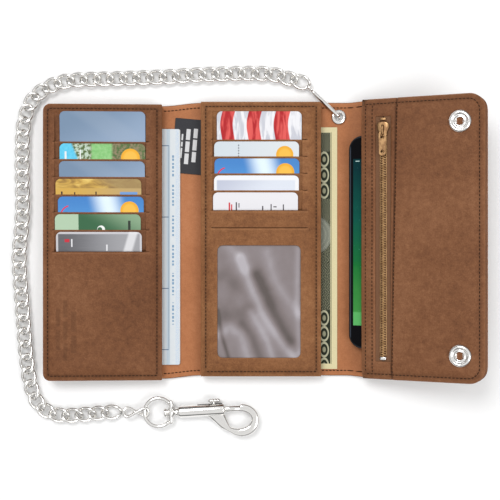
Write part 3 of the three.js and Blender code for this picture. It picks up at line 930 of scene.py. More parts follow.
def buildCardPanel(
    side, section, body, node, cards, slitEnds, lastSlit, material, extraHole=None, emptySlit=None,
    radii=(0, 0, 0, 0), pressed=(),
):
    box, top = panelBox(node, section)
    x0, x1, y0, y1 = box
    hole = (
        min(c["left"] for c in cards) - 0.35, max(c["right"] for c in cards) + 0.35, lastSlit,
        cards[0]["top"] - 0.1
    )
    slits = [c["top"] + 1.3 for c in cards[1:]] + [lastSlit]

    def height(x, y):
        e = edgeDistance(x, y, box)
        z = top - panelShape["edgeDrop"] * (1 - smooth(e / panelShape["edgeWide"]))
        z = z - 0.9 * np.clip(1 - e / panelShape["rim"], 0, 1) ** 2
        z = z - 0.3 * np.exp(-(((e - panelShape["stitchIn"]) / 0.9) ** 2))
        z = z + 0.28 * wave(x, y, 11 if side == "left" else 12, 70) * smooth(e / 12) - 0.25
        # beside and above the cards the leather sinks to the cards' level; below the last slit it lies
        # over them
        near = holeDistance(x, y, hole)
        beside = smooth(1 - near / 5.5) * (y > lastSlit + 0.2)
        z = z * (1 - beside) + beside * np.minimum(z, top - panelShape["lip"])
        over = smooth(1 - near / 9.0) * (y <= lastSlit + 0.2)
        z = z * (1 - over) + over * np.maximum(z, top - 0.12)
        for slit in slits:
            lipRow = np.exp(
                -(((y - slit + 1.2) / 1.4) ** 2)
            ) * (x > slitEnds[0] - 2) * (x < slitEnds[1] + 2)
            z = z + 0.22 * lipRow * (near > 0.05)
        if extraHole is not None:
            ring = holeDistance(x, y, extraHole)
            z = z - 0.4 * np.clip(1 - ring / 1.2, 0, 1) ** 2
        for x0, x1, y0, y1 in pressed:
            z = z - 0.12 * smooth(
                (x - x0) / 0.8
            ) * smooth((x1 - x) / 0.8) * smooth((y - y0) / 0.8) * smooth((y1 - y) / 0.8)
        if emptySlit is not None:
            inRow = smooth((x - slitEnds[0]) / 2) * smooth((slitEnds[1] - x) / 2)
            z = z + 0.35 * inRow * np.exp(
                -(((y - emptySlit + 1.3) / 1.5) ** 2)
            ) - 0.35 * inRow * np.exp(-(((y - emptySlit - 0.9) / 1.1) ** 2))
        return z

    marksPressed = [[v for b in pressed for v in b[:2]], [v for b in pressed for v in b[2:]]]
    cutTall = 0.32
    holes = [hole]
    for slit in slits:
        holes.append((slitEnds[0], hole[0] + 0.1, slit - cutTall / 2, slit + cutTall / 2))
        holes.append((hole[1] - 0.1, slitEnds[1], slit - cutTall / 2, slit + cutTall / 2))
    if extraHole is not None:
        holes.append(extraHole)
    if emptySlit is not None:
        holes.append((slitEnds[0], slitEnds[1], emptySlit - cutTall / 2, emptySlit + cutTall / 2))
    marksX = [slitEnds[0], slitEnds[1], hole[0], hole[1]] + (
        [extraHole[0], extraHole[1]] if extraHole else []
    )
    marksY = [hole[2], hole[3]] + [s + d for s in slits for d in (cutTall / 2, -cutTall / 2)]
    if extraHole is not None:
        marksY += [extraHole[2], extraHole[3]]
    if emptySlit is not None:
        marksY += [emptySlit + cutTall / 2, emptySlit - cutTall / 2]
    xs = linesOf(x0, x1, 1.6, *marksX, *marksPressed[0])
    ys = linesOf(y0, y1, 1.6, *marksY, *marksPressed[1])

    # wear and painted shade: lighter worn rim and window edge, lighter slit lips, painted shade along the
    # stitch groove and in each slit, darker pressed bars
    def wear(x, y):
        e = edgeDistance(x, y, box)
        w = np.clip(1 - e / 1.1, 0, 1) * 0.9
        # painted shade along the stitch groove
        w = w - 0.5 * np.exp(-(((e - panelShape["stitchIn"]) / 0.7) ** 2))
        # each slit: a lighter lip just below it, and painted shade in the slit itself
        for slit in slits + ([emptySlit] if emptySlit is not None else []):
            inRow = (x > slitEnds[0] - 0.5) & (x < slitEnds[1] + 0.5)
            w = w + inRow * (
                0.5 * np.exp(-(((y - slit + 0.9) / 0.6) ** 2)) - 0.9 * np.exp(-(((y - slit) / 0.35) ** 2))
            )
        for x0, x1, y0, y1 in pressed:
            w = w - 0.3 * smooth(
                (x - x0) / 0.6
            ) * smooth((x1 - x) / 0.6) * smooth((y - y0) / 0.6) * smooth((y1 - y) / 0.6)
        if extraHole is not None:
            ring = holeDistance(x, y, extraHole)
            w = w + 0.45 * np.exp(-((ring / 0.6) ** 2))
        return w

    soft = (extraHole, 3.4) if extraHole is not None else None
    panel = sheetObject(
        f"{side}_pocket_leather", xs, ys, box, radii, height, panelShape["thick"], holes,
        material, section, body, wear, soft,
    )
    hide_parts(node)
    # thin pocket layers between the cards, whose tops show as a line of leather above each card
    for upper, lower in zip([None, *cards[:-1]], cards):
        slit = lower["top"] + 1.3
        x = np.linspace(hole[0] - 2.2, hole[1] + 2.2, 40)
        if upper is None:
            slit = hole[3] + 0.35
            y = np.linspace(slit, cards[1]["top"] - 12, 9)
        else:
            y = np.concatenate([np.linspace(slit, slit - 1.6, 5), np.linspace(slit - 4, slit - 14, 4)])
        X, Y = np.meshgrid(x, y, indexing="xy")
        if upper is None:
            face = lower["face"] - 0.92 - (lower["top"] - Y) * slant
        else:
            face = upper["face"] - (upper["top"] - Y) * slant + 0.13 - 0.04 * ((slit - Y) < 0.3)
        flat = np.stack([X, Y, face], axis=-1).reshape(-1, 3)
        faces = [f[::-1] for f in gridFaces(len(y), len(x)).tolist()]
        # painted shade: each pocket layer is darkened all over, as it lies between the cards, and is
        # lighter along its top edge
        layer = makeObject(
            f"{lower['node']}_pocket", lay(flat, section), faces, material, body,
            attributes={"wear": (0.55 * np.exp(-(((slit - Y) / 0.7) ** 2)) - 0.3).ravel()},
        )
        finishMesh(layer, thickness=0.09, merge=False)
    return height, box


def shareLeft(x):
    return 1 - smooth((x + 63.0) / 24.6)


def shareFlap(x):
    return smooth((x - 55.6) / 5.2)


# plain pressed bars near the leaf's lower left corner
pressedBars = [
    (-130.0, -126.8, -70.5, -57.5), (-130.0, -126.8, -55.5, -44.0), (-125.6, -122.2, -77.5, -66.0),
    (-125.6, -122.2, -64.0, -52.0), (-125.6, -122.2, -50.0, -38.5), (-120.6, -116.6, -72.5, -61.0),
    (-120.6, -116.6, -59.0, -45.5),
]
cardsLeft = cardRows("left", 7, "left")
cardsCentre = cardRows("centre", 5, "centre")
idHole = (-27.7, 25.2, -75.6, -4.1)
leftHeight, leftBox = buildCardPanel(
    "left", "left", "left_leaf", "left_card_panel", cardsLeft, (
        -131.7, -71.4
    ), cardsLeft[-1]["top"] - 12.6, brown,
    radii=(4.6, 0.6, 0.6, 4.6), pressed=pressedBars,
)
centreHeight, centreBox = buildCardPanel(
    "centre", "centre", "centre_section", "centre_card_panel", cardsCentre, (-31.4, 29.2),
    cardsCentre[-1]["top"] - 11.5, golden, extraHole=idHole, emptySlit=7.2,
)
print("card panels ready")

# outer cover and lining: two sheets each, meeting under the centre panel and bending at the two folds
leftLow, leftHigh = flatBox("left_cover", "left")
flapLow, flapHigh = flatBox("flap_cover", "flap")
centreLow, centreHigh = flatBox("centre_cover")
flapFaceLow, flapFaceHigh = flatBox("flap_front", "flap")
seamGap = 0.02


foldZones = {"left": (-63.0, -38.4), "flap": (60.8, 55.6)}


def blendFold(obj, section, level):
    # works out the fold zone's two ends, which are not used, and bakes the piece's transform into its
    # mesh
    zone = foldZones[section]
    a = lay(np.array([[zone[0], 0.0, level]]), section, 1.0)[0]
    b = lay(np.array([[zone[1], 0.0, level]]), section, 0.0)[0]
    tuple(a * metre)
    tuple(b * metre)
    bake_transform(obj)


def foldedSheet(name, side, outer, level, thickness, material, inset, replaced, ripple=0.12):
    # outer is the free edge's X; the sheet runs from there to the middle of the centre section
    left = side == "left"
    zone = foldZones[side]
    leaf = (leftLow[1], leftHigh[1]) if left else (flapLow[1], flapHigh[1])
    middle = (centreLow[1], centreHigh[1])
    radius = 4.6 if left else 10.0
    x0, x1 = (outer, -seamGap) if left else (seamGap, outer)
    dense = np.linspace(min(zone), max(zone), 25)
    eye = sum(flatBox("chain_eyelet")) / 2
    nearEye = np.arange(-5.0, 5.01, 0.7)
    dense = np.concatenate([dense, eye[0] + nearEye])
    xs = np.unique(np.round(np.concatenate([linesOf(x0, x1, 2.4), dense]), 3))
    xs = xs[(xs >= x0) & (xs <= x1)]
    v = np.concatenate([[0, 0.004, 0.01], np.linspace(0.02, 0.98, 44), [0.99, 0.996, 1.0]])
    v = np.unique(
        np.round(np.concatenate([v, (eye[1] + nearEye - middle[0]) / (middle[1] - middle[0])]), 5)
    )
    X, V = np.meshgrid(xs, v, indexing="xy")
    share = shareLeft(X) if left else shareFlap(X)
    low = middle[0] * (1 - share) + leaf[0] * share + inset
    high = middle[1] * (1 - share) + leaf[1] * share - inset
    # the free side's two corners are round: the sheet's edges pull in over the last stretch
    fromEdge = (X - x0) if left else (x1 - X)
    pull = radius - np.sqrt(np.clip(radius**2 - np.clip(radius - fromEdge, 0, radius) ** 2, 0, None))
    Y = (low + pull) * (1 - V) + (high - pull) * V
    e = np.minimum(np.minimum(Y - low, high - Y), fromEdge)
    Z = level + ripple * wave(
        X, Y, 31 if left else 32, 55
    ) * smooth(e / 10) - 0.2 * np.clip(1 - e / 0.8, 0, 1) ** 2
    if thickness < 1:
        Z = Z + 0.12 * wave(X * 3, Y * 0.4, 33, 60) * np.where(left, share * (1 - share) * 4, 0) - 0.08
    fromEye = np.hypot(X - eye[0], Y - eye[1])
    Z = Z - 0.25 * np.exp(-(((fromEye - 4.6) / 1.2) ** 2))
    flat = np.stack([X, Y, Z], axis=-1).reshape(-1, 3)
    placed = lay(flat, "left" if left else "flap", share.reshape(-1))
    wear = np.clip(1 - e / 1.0, 0, 1) * 0.7
    centreOf = (fromEye[:-1, :-1] + fromEye[1:, 1:]) / 2
    faces = gridFaces(len(v), len(xs), keep=centreOf > 3.4)
    used = np.unique(faces)
    remap = np.full(X.size, -1)
    remap[used] = np.arange(len(used))
    obj = makeObject(
        name, placed[used], remap[faces].tolist(), material, attributes={"wear": wear.ravel()[used]}
    )
    finishMesh(obj, thickness=thickness, merge=False)
    section = "left" if left else "flap"
    blendFold(obj, section, level)
    if replaced:
        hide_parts(*replaced)
    return obj


foldedSheet(
    "outer_cover_left", "left", leftLow[0], 1.25, 1.15, brownOut, 0.0, ["left_cover", "centre_cover"]
)
foldedSheet("outer_cover_flap", "flap", flapHigh[0], 1.25, 1.15, brownOut, 0.0, ["flap_cover"])
foldedSheet(
    "lining_left", "left", leftLow[0] + 0.4, 1.9, 0.55, tan, 0.35, ["left_lining", "centre_lining"]
)
foldedSheet("lining_flap", "flap", flapHigh[0] - 0.4, 1.9, 0.55, tan, 0.35, ["flap_lining"])
print("cover and lining ready")

# stacked edges under the panels' rims
rimHeight = leftHeight(np.array([leftBox[0]]), np.array([0.0]))[0] - 0.2
liningTop, paperTop, phoneTop = 1.95, 2.95, 9.45
wallRing(
    "left_edge_layers", leftBox, (4.6, 0.6, 0.6, 4.6), rimHeight,
    (liningTop, paperTop, liningTop, liningTop), edgePaint, "left", "left_leaf"
)
wallRing(
    "centre_edge_layers", centreBox, (0.6,) * 4, rimHeight, (liningTop, paperTop, liningTop, paperTop),
    edgePaint, "centre", "centre_section"
)
for side in ("left", "centre"):
    backing = frame["nodes"][f"{side}_backing"]
    backing.data.materials.clear()
    backing.data.materials.append(tan)


flapShape = {"zipLeft": 14.1, "zipRight": 23.9, "zipHalf": 77.0, "seam": 25.8, "front": 4.8}


def buildFlapFront():
    low, high = flatBox("zip_panel", "flap")
    x0, x1 = low[0], flapFaceHigh[0]
    y0, y1, top = flapFaceLow[1], flapFaceHigh[1], flapFaceHigh[2]
    box = (x0, x1, y0, y1)
    foldX = folds["flap"]["x"]
    zipHole = (
        foldX + flapShape["zipLeft"], foldX + flapShape["zipRight"], -flapShape["zipHalf"],
        flapShape["zipHalf"]
    )
    seam = foldX + flapShape["seam"]
    socketLow, socketHigh = flatBox("upper_snap_socket", "flap")
    socket = (socketLow + socketHigh) / 2

    def height(x, y):
        e = edgeDistance(x, y, box)
        fromLeft = x - x0
        e = np.minimum(np.minimum(y - y0, y1 - y), x1 - x)
        z = top + 0.1 - 3.0 * (1 - smooth(e / 8.0)) - 0.9 * np.clip(1 - e / 1.4, 0, 1) ** 2
        z = z - 0.7 * (1 - smooth(fromLeft / 4.0)) - 0.4 * np.clip(1 - fromLeft / 1.2, 0, 1) ** 2
        z = z - 0.28 * np.exp(-(((e - 3.4) / 0.9) ** 2)) + 0.35 * wave(x, y, 14, 80) * smooth(e / 14)
        ring = holeDistance(x, y, zipHole)
        z = z - 0.5 * np.clip(1 - ring / 1.0, 0, 1) ** 2
        slope = (y / 90.0) * 1.6
        z = z + 0.55 * smooth((x - seam - slope) / 0.7) - 0.45 * np.exp(
            -(((x - seam - slope + 0.3) / 0.5) ** 2)
        )
        z = z - 0.22 * np.exp(-(((x - x0 - 2.8) / 0.7) ** 2))
        for sign in (1, -1):
            d = np.hypot(x - socket[0], y - sign * abs(socket[1]))
            z = z - 0.5 * np.exp(-(((d - 6.0) / 3.0) ** 2))
        return z

    # wear and painted shade: lighter worn edges and zip window rim, painted shade along the stitch groove
    # and in the seam's step
    def wear(x, y):
        e = np.minimum(np.minimum(y - y0, y1 - y), x1 - x)
        slope = (y / 90.0) * 1.6
        w = np.clip(1 - np.minimum(e, x - x0) / 1.1, 0, 1) * 0.9
        # painted shade along the stitch groove and in the seam's step
        w = w - 0.4 * np.exp(-(((e - 3.4) / 0.7) ** 2))
        w = w - 0.9 * np.exp(-(((x - seam - slope + 0.25) / 0.35) ** 2))
        ring = holeDistance(x, y, zipHole)
        w = w + 0.5 * np.exp(-((ring / 0.5) ** 2))
        return w

    xs = linesOf(x0, x1, 1.6, zipHole[0], zipHole[1], seam - 1.6, seam, seam + 1.6)
    ys = linesOf(y0, y1, 1.8, zipHole[2], zipHole[3])
    radii = (0, 10, 10, 0)
    front = sheetObject(
        "flap_front_leather", xs, ys, box, radii, height, 0.9, [zipHole], brown, "flap", "snap_flap", wear
    )
    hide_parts("zip_panel", "flap_front")
    rim = height(np.array([x1]), np.array([0.0]))[0] + 0.1
    wall = wallRing(
        "flap_edge_layers", box, (0.6, 10, 10, 0.6), rim, (liningTop, liningTop, liningTop, phoneTop),
        edgePaint, "flap", "snap_flap"
    )
    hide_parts("flap_pocket_face")
    rows = [
        roundedLoop(height, (x0 + 2.8, x1 - 3.4, y0 + 3.4, y1 - 3.4), (0, 7, 7, 0)),
        lineOver(height, ((x0 + 7.2, y0 + 4), (x0 + 7.2, y1 - 4))),
        lineOver(height, ((seam + 0.6 - 1.6, y0 + 4), (seam + 0.6 + 1.6, y1 - 4))),
    ]
    addStitches("flap_stitching", rows, "flap", "snap_flap")
    return socket


socketAt = buildFlapFront()


def panelStitches():
    inset = panelShape["stitchIn"]
    for side, height, box, section, body in (
        ("left", leftHeight, leftBox, "left", "left_leaf"),
        ("centre", centreHeight, centreBox, "centre", "centre_section"),
    ):
        x0, x1, y0, y1 = box
        r = 2.2 if side == "left" else 0.4
        rows = [roundedLoop(height, (x0 + inset, x1 - inset, y0 + inset, y1 - inset), (r, 0.4, 0.4, r))]
        addStitches(f"{side}_stitching", rows, section, body)
    # rows that cross each fold with the lining
    for side, span, leaf, shareOf in (
        (
            "left", (-62.6, -38.9), (leftLow, leftHigh), shareLeft
        ), ("flap", (38.9, 60.4), (flapLow, flapHigh), shareFlap)
    ):
        parts = []
        for end in (0, 1):
            x = np.linspace(*span, 40)
            w = shareOf(x)
            y = w * leaf[end][1] + (1 - w) * (centreLow, centreHigh)[end][1] + (3.4, -3.4)[end]
            for points, faces in stitchRow(np.stack([x, y, np.full(40, 1.98)], axis=1)):
                parts.append((lay(points, side, shareOf(points[:, 0])), faces))
        row = gather(f"{side}_strip_stitching", parts, thread, None)
        blendFold(row, side, 1.9)


panelStitches()
print("stitching ready")


def cardMaterial(name, paint, rough=0.36):
    # paint(shader, u, v) gives the face's colour from millimetres across and down from the card's top
    # left corner
    s = Shader(name, Roughness=rough, Specular_IOR_Level=0.25)
    u, v, _ = s.split(s.flat())
    s.feed("Base Color", paint(s, u, v))
    grain = s.noise(s.place(), 900.0, 3.0)
    s.feed("Roughness", grain * 0.16 + (rough - 0.08))
    s.feed("Normal", s.bump(grain, 0.01 * metre))
    return s.done()


def inBox(s, u, v, x0, x1, y0, y1, soft=0.12):
    across = s.step(u, x0 - soft, x0 + soft) * (1.0 - s.step(u, x1 - soft, x1 + soft))
    return across * s.step(v, y0 - soft, y0 + soft) * (1.0 - s.step(v, y1 - soft, y1 + soft))


def disc(s, u, v, cx, cy, radius, soft=0.12):
    far = ((u - cx) ** 2.0 + (v - cy) ** 2.0) ** 0.5
    return 1.0 - s.step(far, radius - soft, radius + soft)


def strokes(s, u, v, base, tone, boxes):
    # small plain blocks that stand where a card carries its particulars
    for x0, x1, y0, y1 in boxes:
        base = s.mix(inBox(s, u, v, x0, x1, y0, y1), base, tone)
    return base


def amberDisc(s, u, v, base, cx, cy, radius):
    base = s.mix(disc(s, u, v, cx, cy, radius), base, (0.82, 0.4, 0.03))
    return s.mix(disc(s, u, v, cx, cy, radius - 1.6, 0.9) * 0.6, base, (0.9, 0.55, 0.1))


def slateCard(s, u, v):
    base = s.mix(s.step(u * 0.5 + v, 8.0, 44.0), (0.175, 0.255, 0.37), (0.28, 0.37, 0.51))
    sheen = s.step((u * 0.09 - v * 0.13).sine(), 0.2, 0.95)
    return s.mix(sheen * 0.18, base, (0.36, 0.43, 0.53))


def sceneryCard(s, u, v):
    leaves = s.noise(s.flat(), 0.5, 4.0, 0.6)
    base = s.mix(s.step(leaves, 0.4, 0.62), (0.09, 0.15, 0.05), (0.27, 0.22, 0.13))
    base = s.mix(
        inBox(s, u, v, 20.0, 33.0, 0, 30, 1.0), base, s.mix(leaves, (0.1, 0.4, 0.08), (0.4, 0.68, 0.32))
    )
    base = s.mix(
        inBox(s, u, v, 9.0, 19.5, 0, 30, 1.2) * s.step(leaves, 0.45, 0.55), base, (0.5, 0.62, 0.5)
    )
    base = s.mix(
        1.0 - s.step(u - v * 0.4, 6.5, 8.5), base, s.mix(leaves, (0.03, 0.42, 0.68), (0.2, 0.7, 0.9))
    )
    base = amberDisc(s, u, v, base, 44.6, 9.1, 6.0)
    return strokes(s, u, v, base, (0.78, 0.8, 0.8), [(3.2, 4.4, 5, 12), (12.6, 13.4, 4, 10)])


def goldCard(s, u, v):
    swirl = s.noise(s.stretch(s.flat(), (0.06, 0.14, 1.0)), 1.4, 4.0, 0.55, 0.8)
    base = s.ramp(
        swirl, (0.34, (0.3, 0.17, 0.045)), (0.5, (0.58, 0.36, 0.08)), (0.66, (0.78, 0.56, 0.16))
    )
    base = s.mix(s.step(u - v * 1.4, 18.0, 34.0) * 0.75, base, (0.27, 0.19, 0.1))
    base = s.mix(
        s.step(v, 5.6, 6.2), base, s.mix(s.step(u, 10, 50), (0.62, 0.38, 0.08), (0.5, 0.35, 0.15))
    )
    base = s.mix(inBox(s, u, v, 40.5, 51.5, 8.2, 14.0, 0.3), base, (0.16, 0.32, 0.62))
    return strokes(
        s, u, v, base, (0.03, 0.02, 0.02), [(3.4, 4.4, 8, 11), (11.6, 12.4, 8.4, 11), (25, 25.8, 8, 11)]
    )


def azureCard(s, u, v):
    base = s.mix(s.step(v, 0.0, 22.0), (0.06, 0.22, 0.55), (0.1, 0.33, 0.68))
    glow = 1.0 - s.step((u - 31.5 - (v - 6.0) * 0.25).absolute(), 0.5, 13.0)
    base = s.mix(glow, base, (0.72, 0.84, 0.93))
    arc = disc(s, u, v, 8.0, 12.0, 6.6) * (
        1.0 - disc(s, u, v, 8.0, 12.0, 5.7)
    ) * (1.0 - s.step(u, 6.0, 7.0))
    base = s.mix(arc, base, (0.65, 0.05, 0.12))
    return amberDisc(s, u, v, base, 45.0, 8.8, 5.8)


def mossCard(s, u, v):
    deep = s.mix(s.step(u * 0.6 - v, 8.0, 30.0), (0.04, 0.13, 0.06), (0.24, 0.37, 0.23))
    base = s.mix(s.step(u, 14.6, 15.0), (0.42, 0.56, 0.4), deep)
    mark = disc(s, u, v, 29.0, 9.6, 2.5) * (1.0 - disc(s, u, v, 28.2, 9.6, 1.5))
    base = s.mix(mark, base, (0.82, 0.84, 0.82))
    return strokes(s, u, v, base, (0.03, 0.04, 0.03), [(46, 47.6, 4.0, 10.5)])


def steelCard(s, u, v):
    brushed = s.noise(s.stretch(s.flat(), (0.04, 1.4, 1.0)), 2.0, 3.0)
    inner = s.mix(s.step(u, 3.0, 46.0), (0.085, 0.085, 0.095), (0.33, 0.33, 0.35))
    inner = s.mix(brushed * 0.25, inner, (0.4, 0.4, 0.42))
    base = s.mix(inBox(s, u, v, 1.3, 52.7, 1.3, 90.0, 0.35), (0.56, 0.55, 0.58), inner)
    base = s.mix(
        s.step(u + v * 0.3, 45.0, 47.0) * (1.0 - s.step(u + v * 0.3, 50.5, 52.5)) * 0.7, base,
        (0.8, 0.8, 0.82)
    )
    base = strokes(s, u, v, base, (0.55, 0.03, 0.05), [(5.4, 8.4, 4.5, 6.5)])
    return strokes(s, u, v, base, (0.75, 0.75, 0.77), [(9.5, 10.3, 4.5, 9.5), (31.5, 32.4, 8.0, 12.0)])


def stripedCard(s, u, v):
    # broad red bands on white cloth, with soft folds
    wander = (v * 0.21).sine() * 1.1 + v * 0.05
    x = u + wander
    base = (0.7, 0.7, 0.74)
    cloth = s.noise(s.stretch(s.flat(), (0.35, 0.06, 1.0), 0.25), 1.0, 3.0, 0.5, 0.6)
    base = s.mix(s.step(cloth, 0.42, 0.6), (0.55, 0.56, 0.62), (0.8, 0.8, 0.83))
    red = s.mix(s.step(cloth, 0.4, 0.62), (0.42, 0.015, 0.02), (0.72, 0.1, 0.09))
    for low, high in ((3.6, 11.6), (20.4, 28.6), (37.6, 46.8)):
        base = s.mix(
            s.step(x, low - 0.2, low + 0.2) * (1.0 - s.step(x, high - 0.2, high + 0.2)), base, red
        )
    return base


def silverCard(s, u, v):
    base = s.mix(s.step(u, 0.0, 46.0), (0.6, 0.66, 0.71), (0.67, 0.71, 0.74))
    base = strokes(
        s, u, v, base, (0.13, 0.15, 0.18), [(15.2, 15.9, 2 + k * 1.7, 2.9 + k * 1.7) for k in range(6)]
    )
    return amberDisc(s, u, v, base, 44.9, 8.3, 5.5)


def paleCard(s, u, v):
    inner = s.mix(s.step(u + v, 4.0, 46.0), (0.5, 0.53, 0.64), (0.68, 0.72, 0.8))
    base = s.mix(inBox(s, u, v, 1.8, 51.6, 3.0, 82.0, 0.5), (0.82, 0.82, 0.84), inner)
    return strokes(
        s, u, v, base, (0.16, 0.14, 0.12), [(2 + k * 2.3, 3.2 + k * 2.3, 9.6, 10.1) for k in range(9)]
    )


def markedCard(s, u, v):
    base = s.mix(s.step(v, 0.0, 24.0), (0.76, 0.75, 0.78), (0.7, 0.7, 0.73))
    base = strokes(s, u, v, base, (0.6, 0.05, 0.06), [(9.9, 10.9, 6.4, 11.6), (11.4, 12.2, 7.6, 11.6)])
    dark = [
        (14.4, 15.2, 6.2, 11.6), (16.2, 16.8, 6.8, 9.6), (31.2, 32.0, 8.6, 11.6),
        (36.6, 37.3, 7.4, 11.6), (38.4, 40.4, 8.8, 9.5), (44.4, 45.1, 7.6, 11.6),
    ]
    return strokes(s, u, v, base, (0.06, 0.05, 0.06), dark)


cardLooks = {
    "left_card_1": slateCard, "left_card_2": sceneryCard, "left_card_3": slateCard,
    "left_card_4": goldCard, "left_card_5": azureCard, "left_card_6": mossCard, "left_card_7": steelCard,
    "centre_card_1": stripedCard, "centre_card_2": silverCard, "centre_card_3": azureCard,
    "centre_card_4": paleCard, "centre_card_5": markedCard,
}
cardShape = {"wide": 54.0, "long": 85.6, "thick": 0.76, "corner": 3.2, "bevel": 0.12, "slant": 5.0}


def buildCard(row, section):
    # a rounded plastic card: rings of its outline from the middle of the back, round the rolled edge, to
    # the middle of the face
    name = row["node"]
    w, l, r, t, b = (cardShape[k] for k in ("wide", "long", "corner", "thick", "bevel"))
    corners = [(w - r, -r, 0), (r, -r, 90), (r, -l + r, 180), (w - r, -l + r, 270)]
    angle = np.radians(np.concatenate([np.linspace(a, a + 90, 11) for _, _, a in corners]))
    cx = np.repeat([c[0] for c in corners], 11)
    cy = np.repeat([c[1] for c in corners], 11)
    rings = []
    for inset, z in (
        (r + 8, -t), (r * 0.5, -t), (b, -t), (b * 0.3, -t + b * 0.3), (0, -t + b), (0, -b),
        (b * 0.3, -b * 0.3), (b, 0), (r * 0.5, 0), (r + 8, 0)
    ):
        reach = max(r - inset, 0.0)
        extra = max(inset - r, 0.0)
        x = cx + reach * np.cos(angle) - extra * np.sign(cx - w / 2)
        y = cy + reach * np.sin(angle) - extra * np.sign(cy + l / 2)
        rings.append(np.stack([x, y, np.full(len(x), z)], axis=1))
    count = len(angle)
    points = np.vstack(rings)
    faces = gridFaces(len(rings), count, closeColumns=True).tolist()
    faces.append(tuple(reversed(range(count))))
    faces.append(tuple(range((len(rings) - 1) * count, len(rings) * count)))
    uv = np.stack([points[:, 0], -points[:, 1]], axis=1)
    a = math.radians(cardShape["slant"])
    y = points[:, 1] * math.cos(a) - points[:, 2] * math.sin(a)
    z = points[:, 1] * math.sin(a) + points[:, 2] * math.cos(a)
    # the frame card's highest point is its face's top edge
    flat = np.stack(
        [points[:, 0] + row["left"], y + row["top"] - t * math.sin(a), z + row["face"]], axis=1
    )
    material = cardMaterial(name + "_print", cardLooks[name])
    obj = makeObject(name + "_face", lay(flat, section), faces, material, name, uv=uv, shade=False)
    finishMesh(obj)
    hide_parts(name)
    return obj


for row in cardsLeft:
    buildCard(row, "left")
for row in cardsCentre:
    buildCard(row, "centre")
print("cards ready")


def slabGrid(
    name, low, high, material, section, body, bulge, bend=None, radius=0.6, step=2.5, skew=0.0,
    attributes=None, share=None
):
    # a closed thin block over a grid: top raised by bulge(x, y), bottom flat, both moved by bend(x, y)
    xs, ys = linesOf(low[0], high[0], step), linesOf(low[1], high[1], step)
    X, Y = np.meshgrid(xs, ys, indexing="xy")
    X2, Y2 = roundCorners(X, Y, (low[0], high[0], low[1], high[1]), (radius,) * 4)
    shift = bend(X2, Y2) if bend else 0.0
    uv = np.stack([X2 - low[0], high[1] - Y2], axis=-1).reshape(-1, 2)
    if skew:
        Y2 = Y2 + skew * (X2 - (low[0] + 8.0))
        X2 = X2 - skew * (Y2 - high[1]) * 0.9
    top = np.stack([X2, Y2, high[2] + bulge(X2, Y2) + shift], axis=-1).reshape(-1, 3)
    bottom = np.stack([X2, Y2, np.full(X.shape, low[2]) + shift], axis=-1).reshape(-1, 3)
    rows, columns = X.shape
    faces = gridFaces(rows, columns).tolist()
    faces += [tuple(f[::-1]) for f in gridFaces(rows, columns, offset=len(top)).tolist()]
    rim = list(range(columns)) + [r * columns + columns - 1 for r in range(1, rows)]
    rim += [
        (rows - 1) * columns + c for c in range(columns - 2, -1, -1)
    ] + [r * columns for r in range(rows - 2, 0, -1)]
    for a, b in zip(rim, rim[1:] + rim[:1]):
        faces.append((b, a, a + len(top), b + len(top)))
    points = np.vstack([top, bottom])
    values = {key: np.tile(make(X2, Y2).ravel(), 2) for key, make in (attributes or {}).items()}
    placed = lay(points, section, share(points[:, 0]) if share else 1.0)
    obj = makeObject(name, placed, faces, material, body, np.vstack([uv, uv]), step < 2, values)
    finishMesh(obj, merge=False)
    return obj


def chequeMaterial():
    s = Shader("chequePaper", Roughness=0.75, Specular_IOR_Level=0.2)
    u, v, _ = s.split(s.flat())
    edge = 70.0
    fibres = s.noise(s.flat(), 0.4, 4.0)
    base = s.mix(fibres, (0.62, 0.67, 0.7), (0.7, 0.73, 0.75))
    speck = s.step(s.noise(s.flat(), 2.6, 2.0), 0.5, 0.58)
    base = s.mix(
        s.step(u, edge - 9.2, edge - 8.8) * (1.0 - s.step(u, edge - 7.0, edge - 6.6)) * 0.7, base,
        (0.42, 0.52, 0.6)
    )
    base = s.mix(speck * s.step(u, edge - 3.4, edge - 3.0) * 0.5, base, (0.25, 0.45, 0.75))
    for line in (10.5, 56.5, 102.5, 142.0):
        base = strokes(s, u, v, base, (0.08, 0.14, 0.24), [(edge - 18.0, edge - 7.6, line, line + 0.5)])
    base = strokes(s, u, v, base, (0.2, 0.28, 0.38), [(edge - 7.7, edge - 7.3, 10.5, 142.0)])
    # runs of short blue dashes down the printed side
    run = s.step(
        (v * 2.6).sine() + (v * 1.1).sine() * 0.6, -0.35, -0.1
    ) * s.step((v * 0.33).sine(), -0.8, -0.6)
    base = s.mix(run * inBox(s, u, v, edge - 5.4, edge - 4.2, 14.0, 128.0) * 0.8, base, (0.06, 0.22, 0.4))
    s.feed("Base Color", base)
    s.feed("Normal", s.bump(s.noise(s.place(), 1600.0, 4.0), 0.02 * metre))
    return s.done()


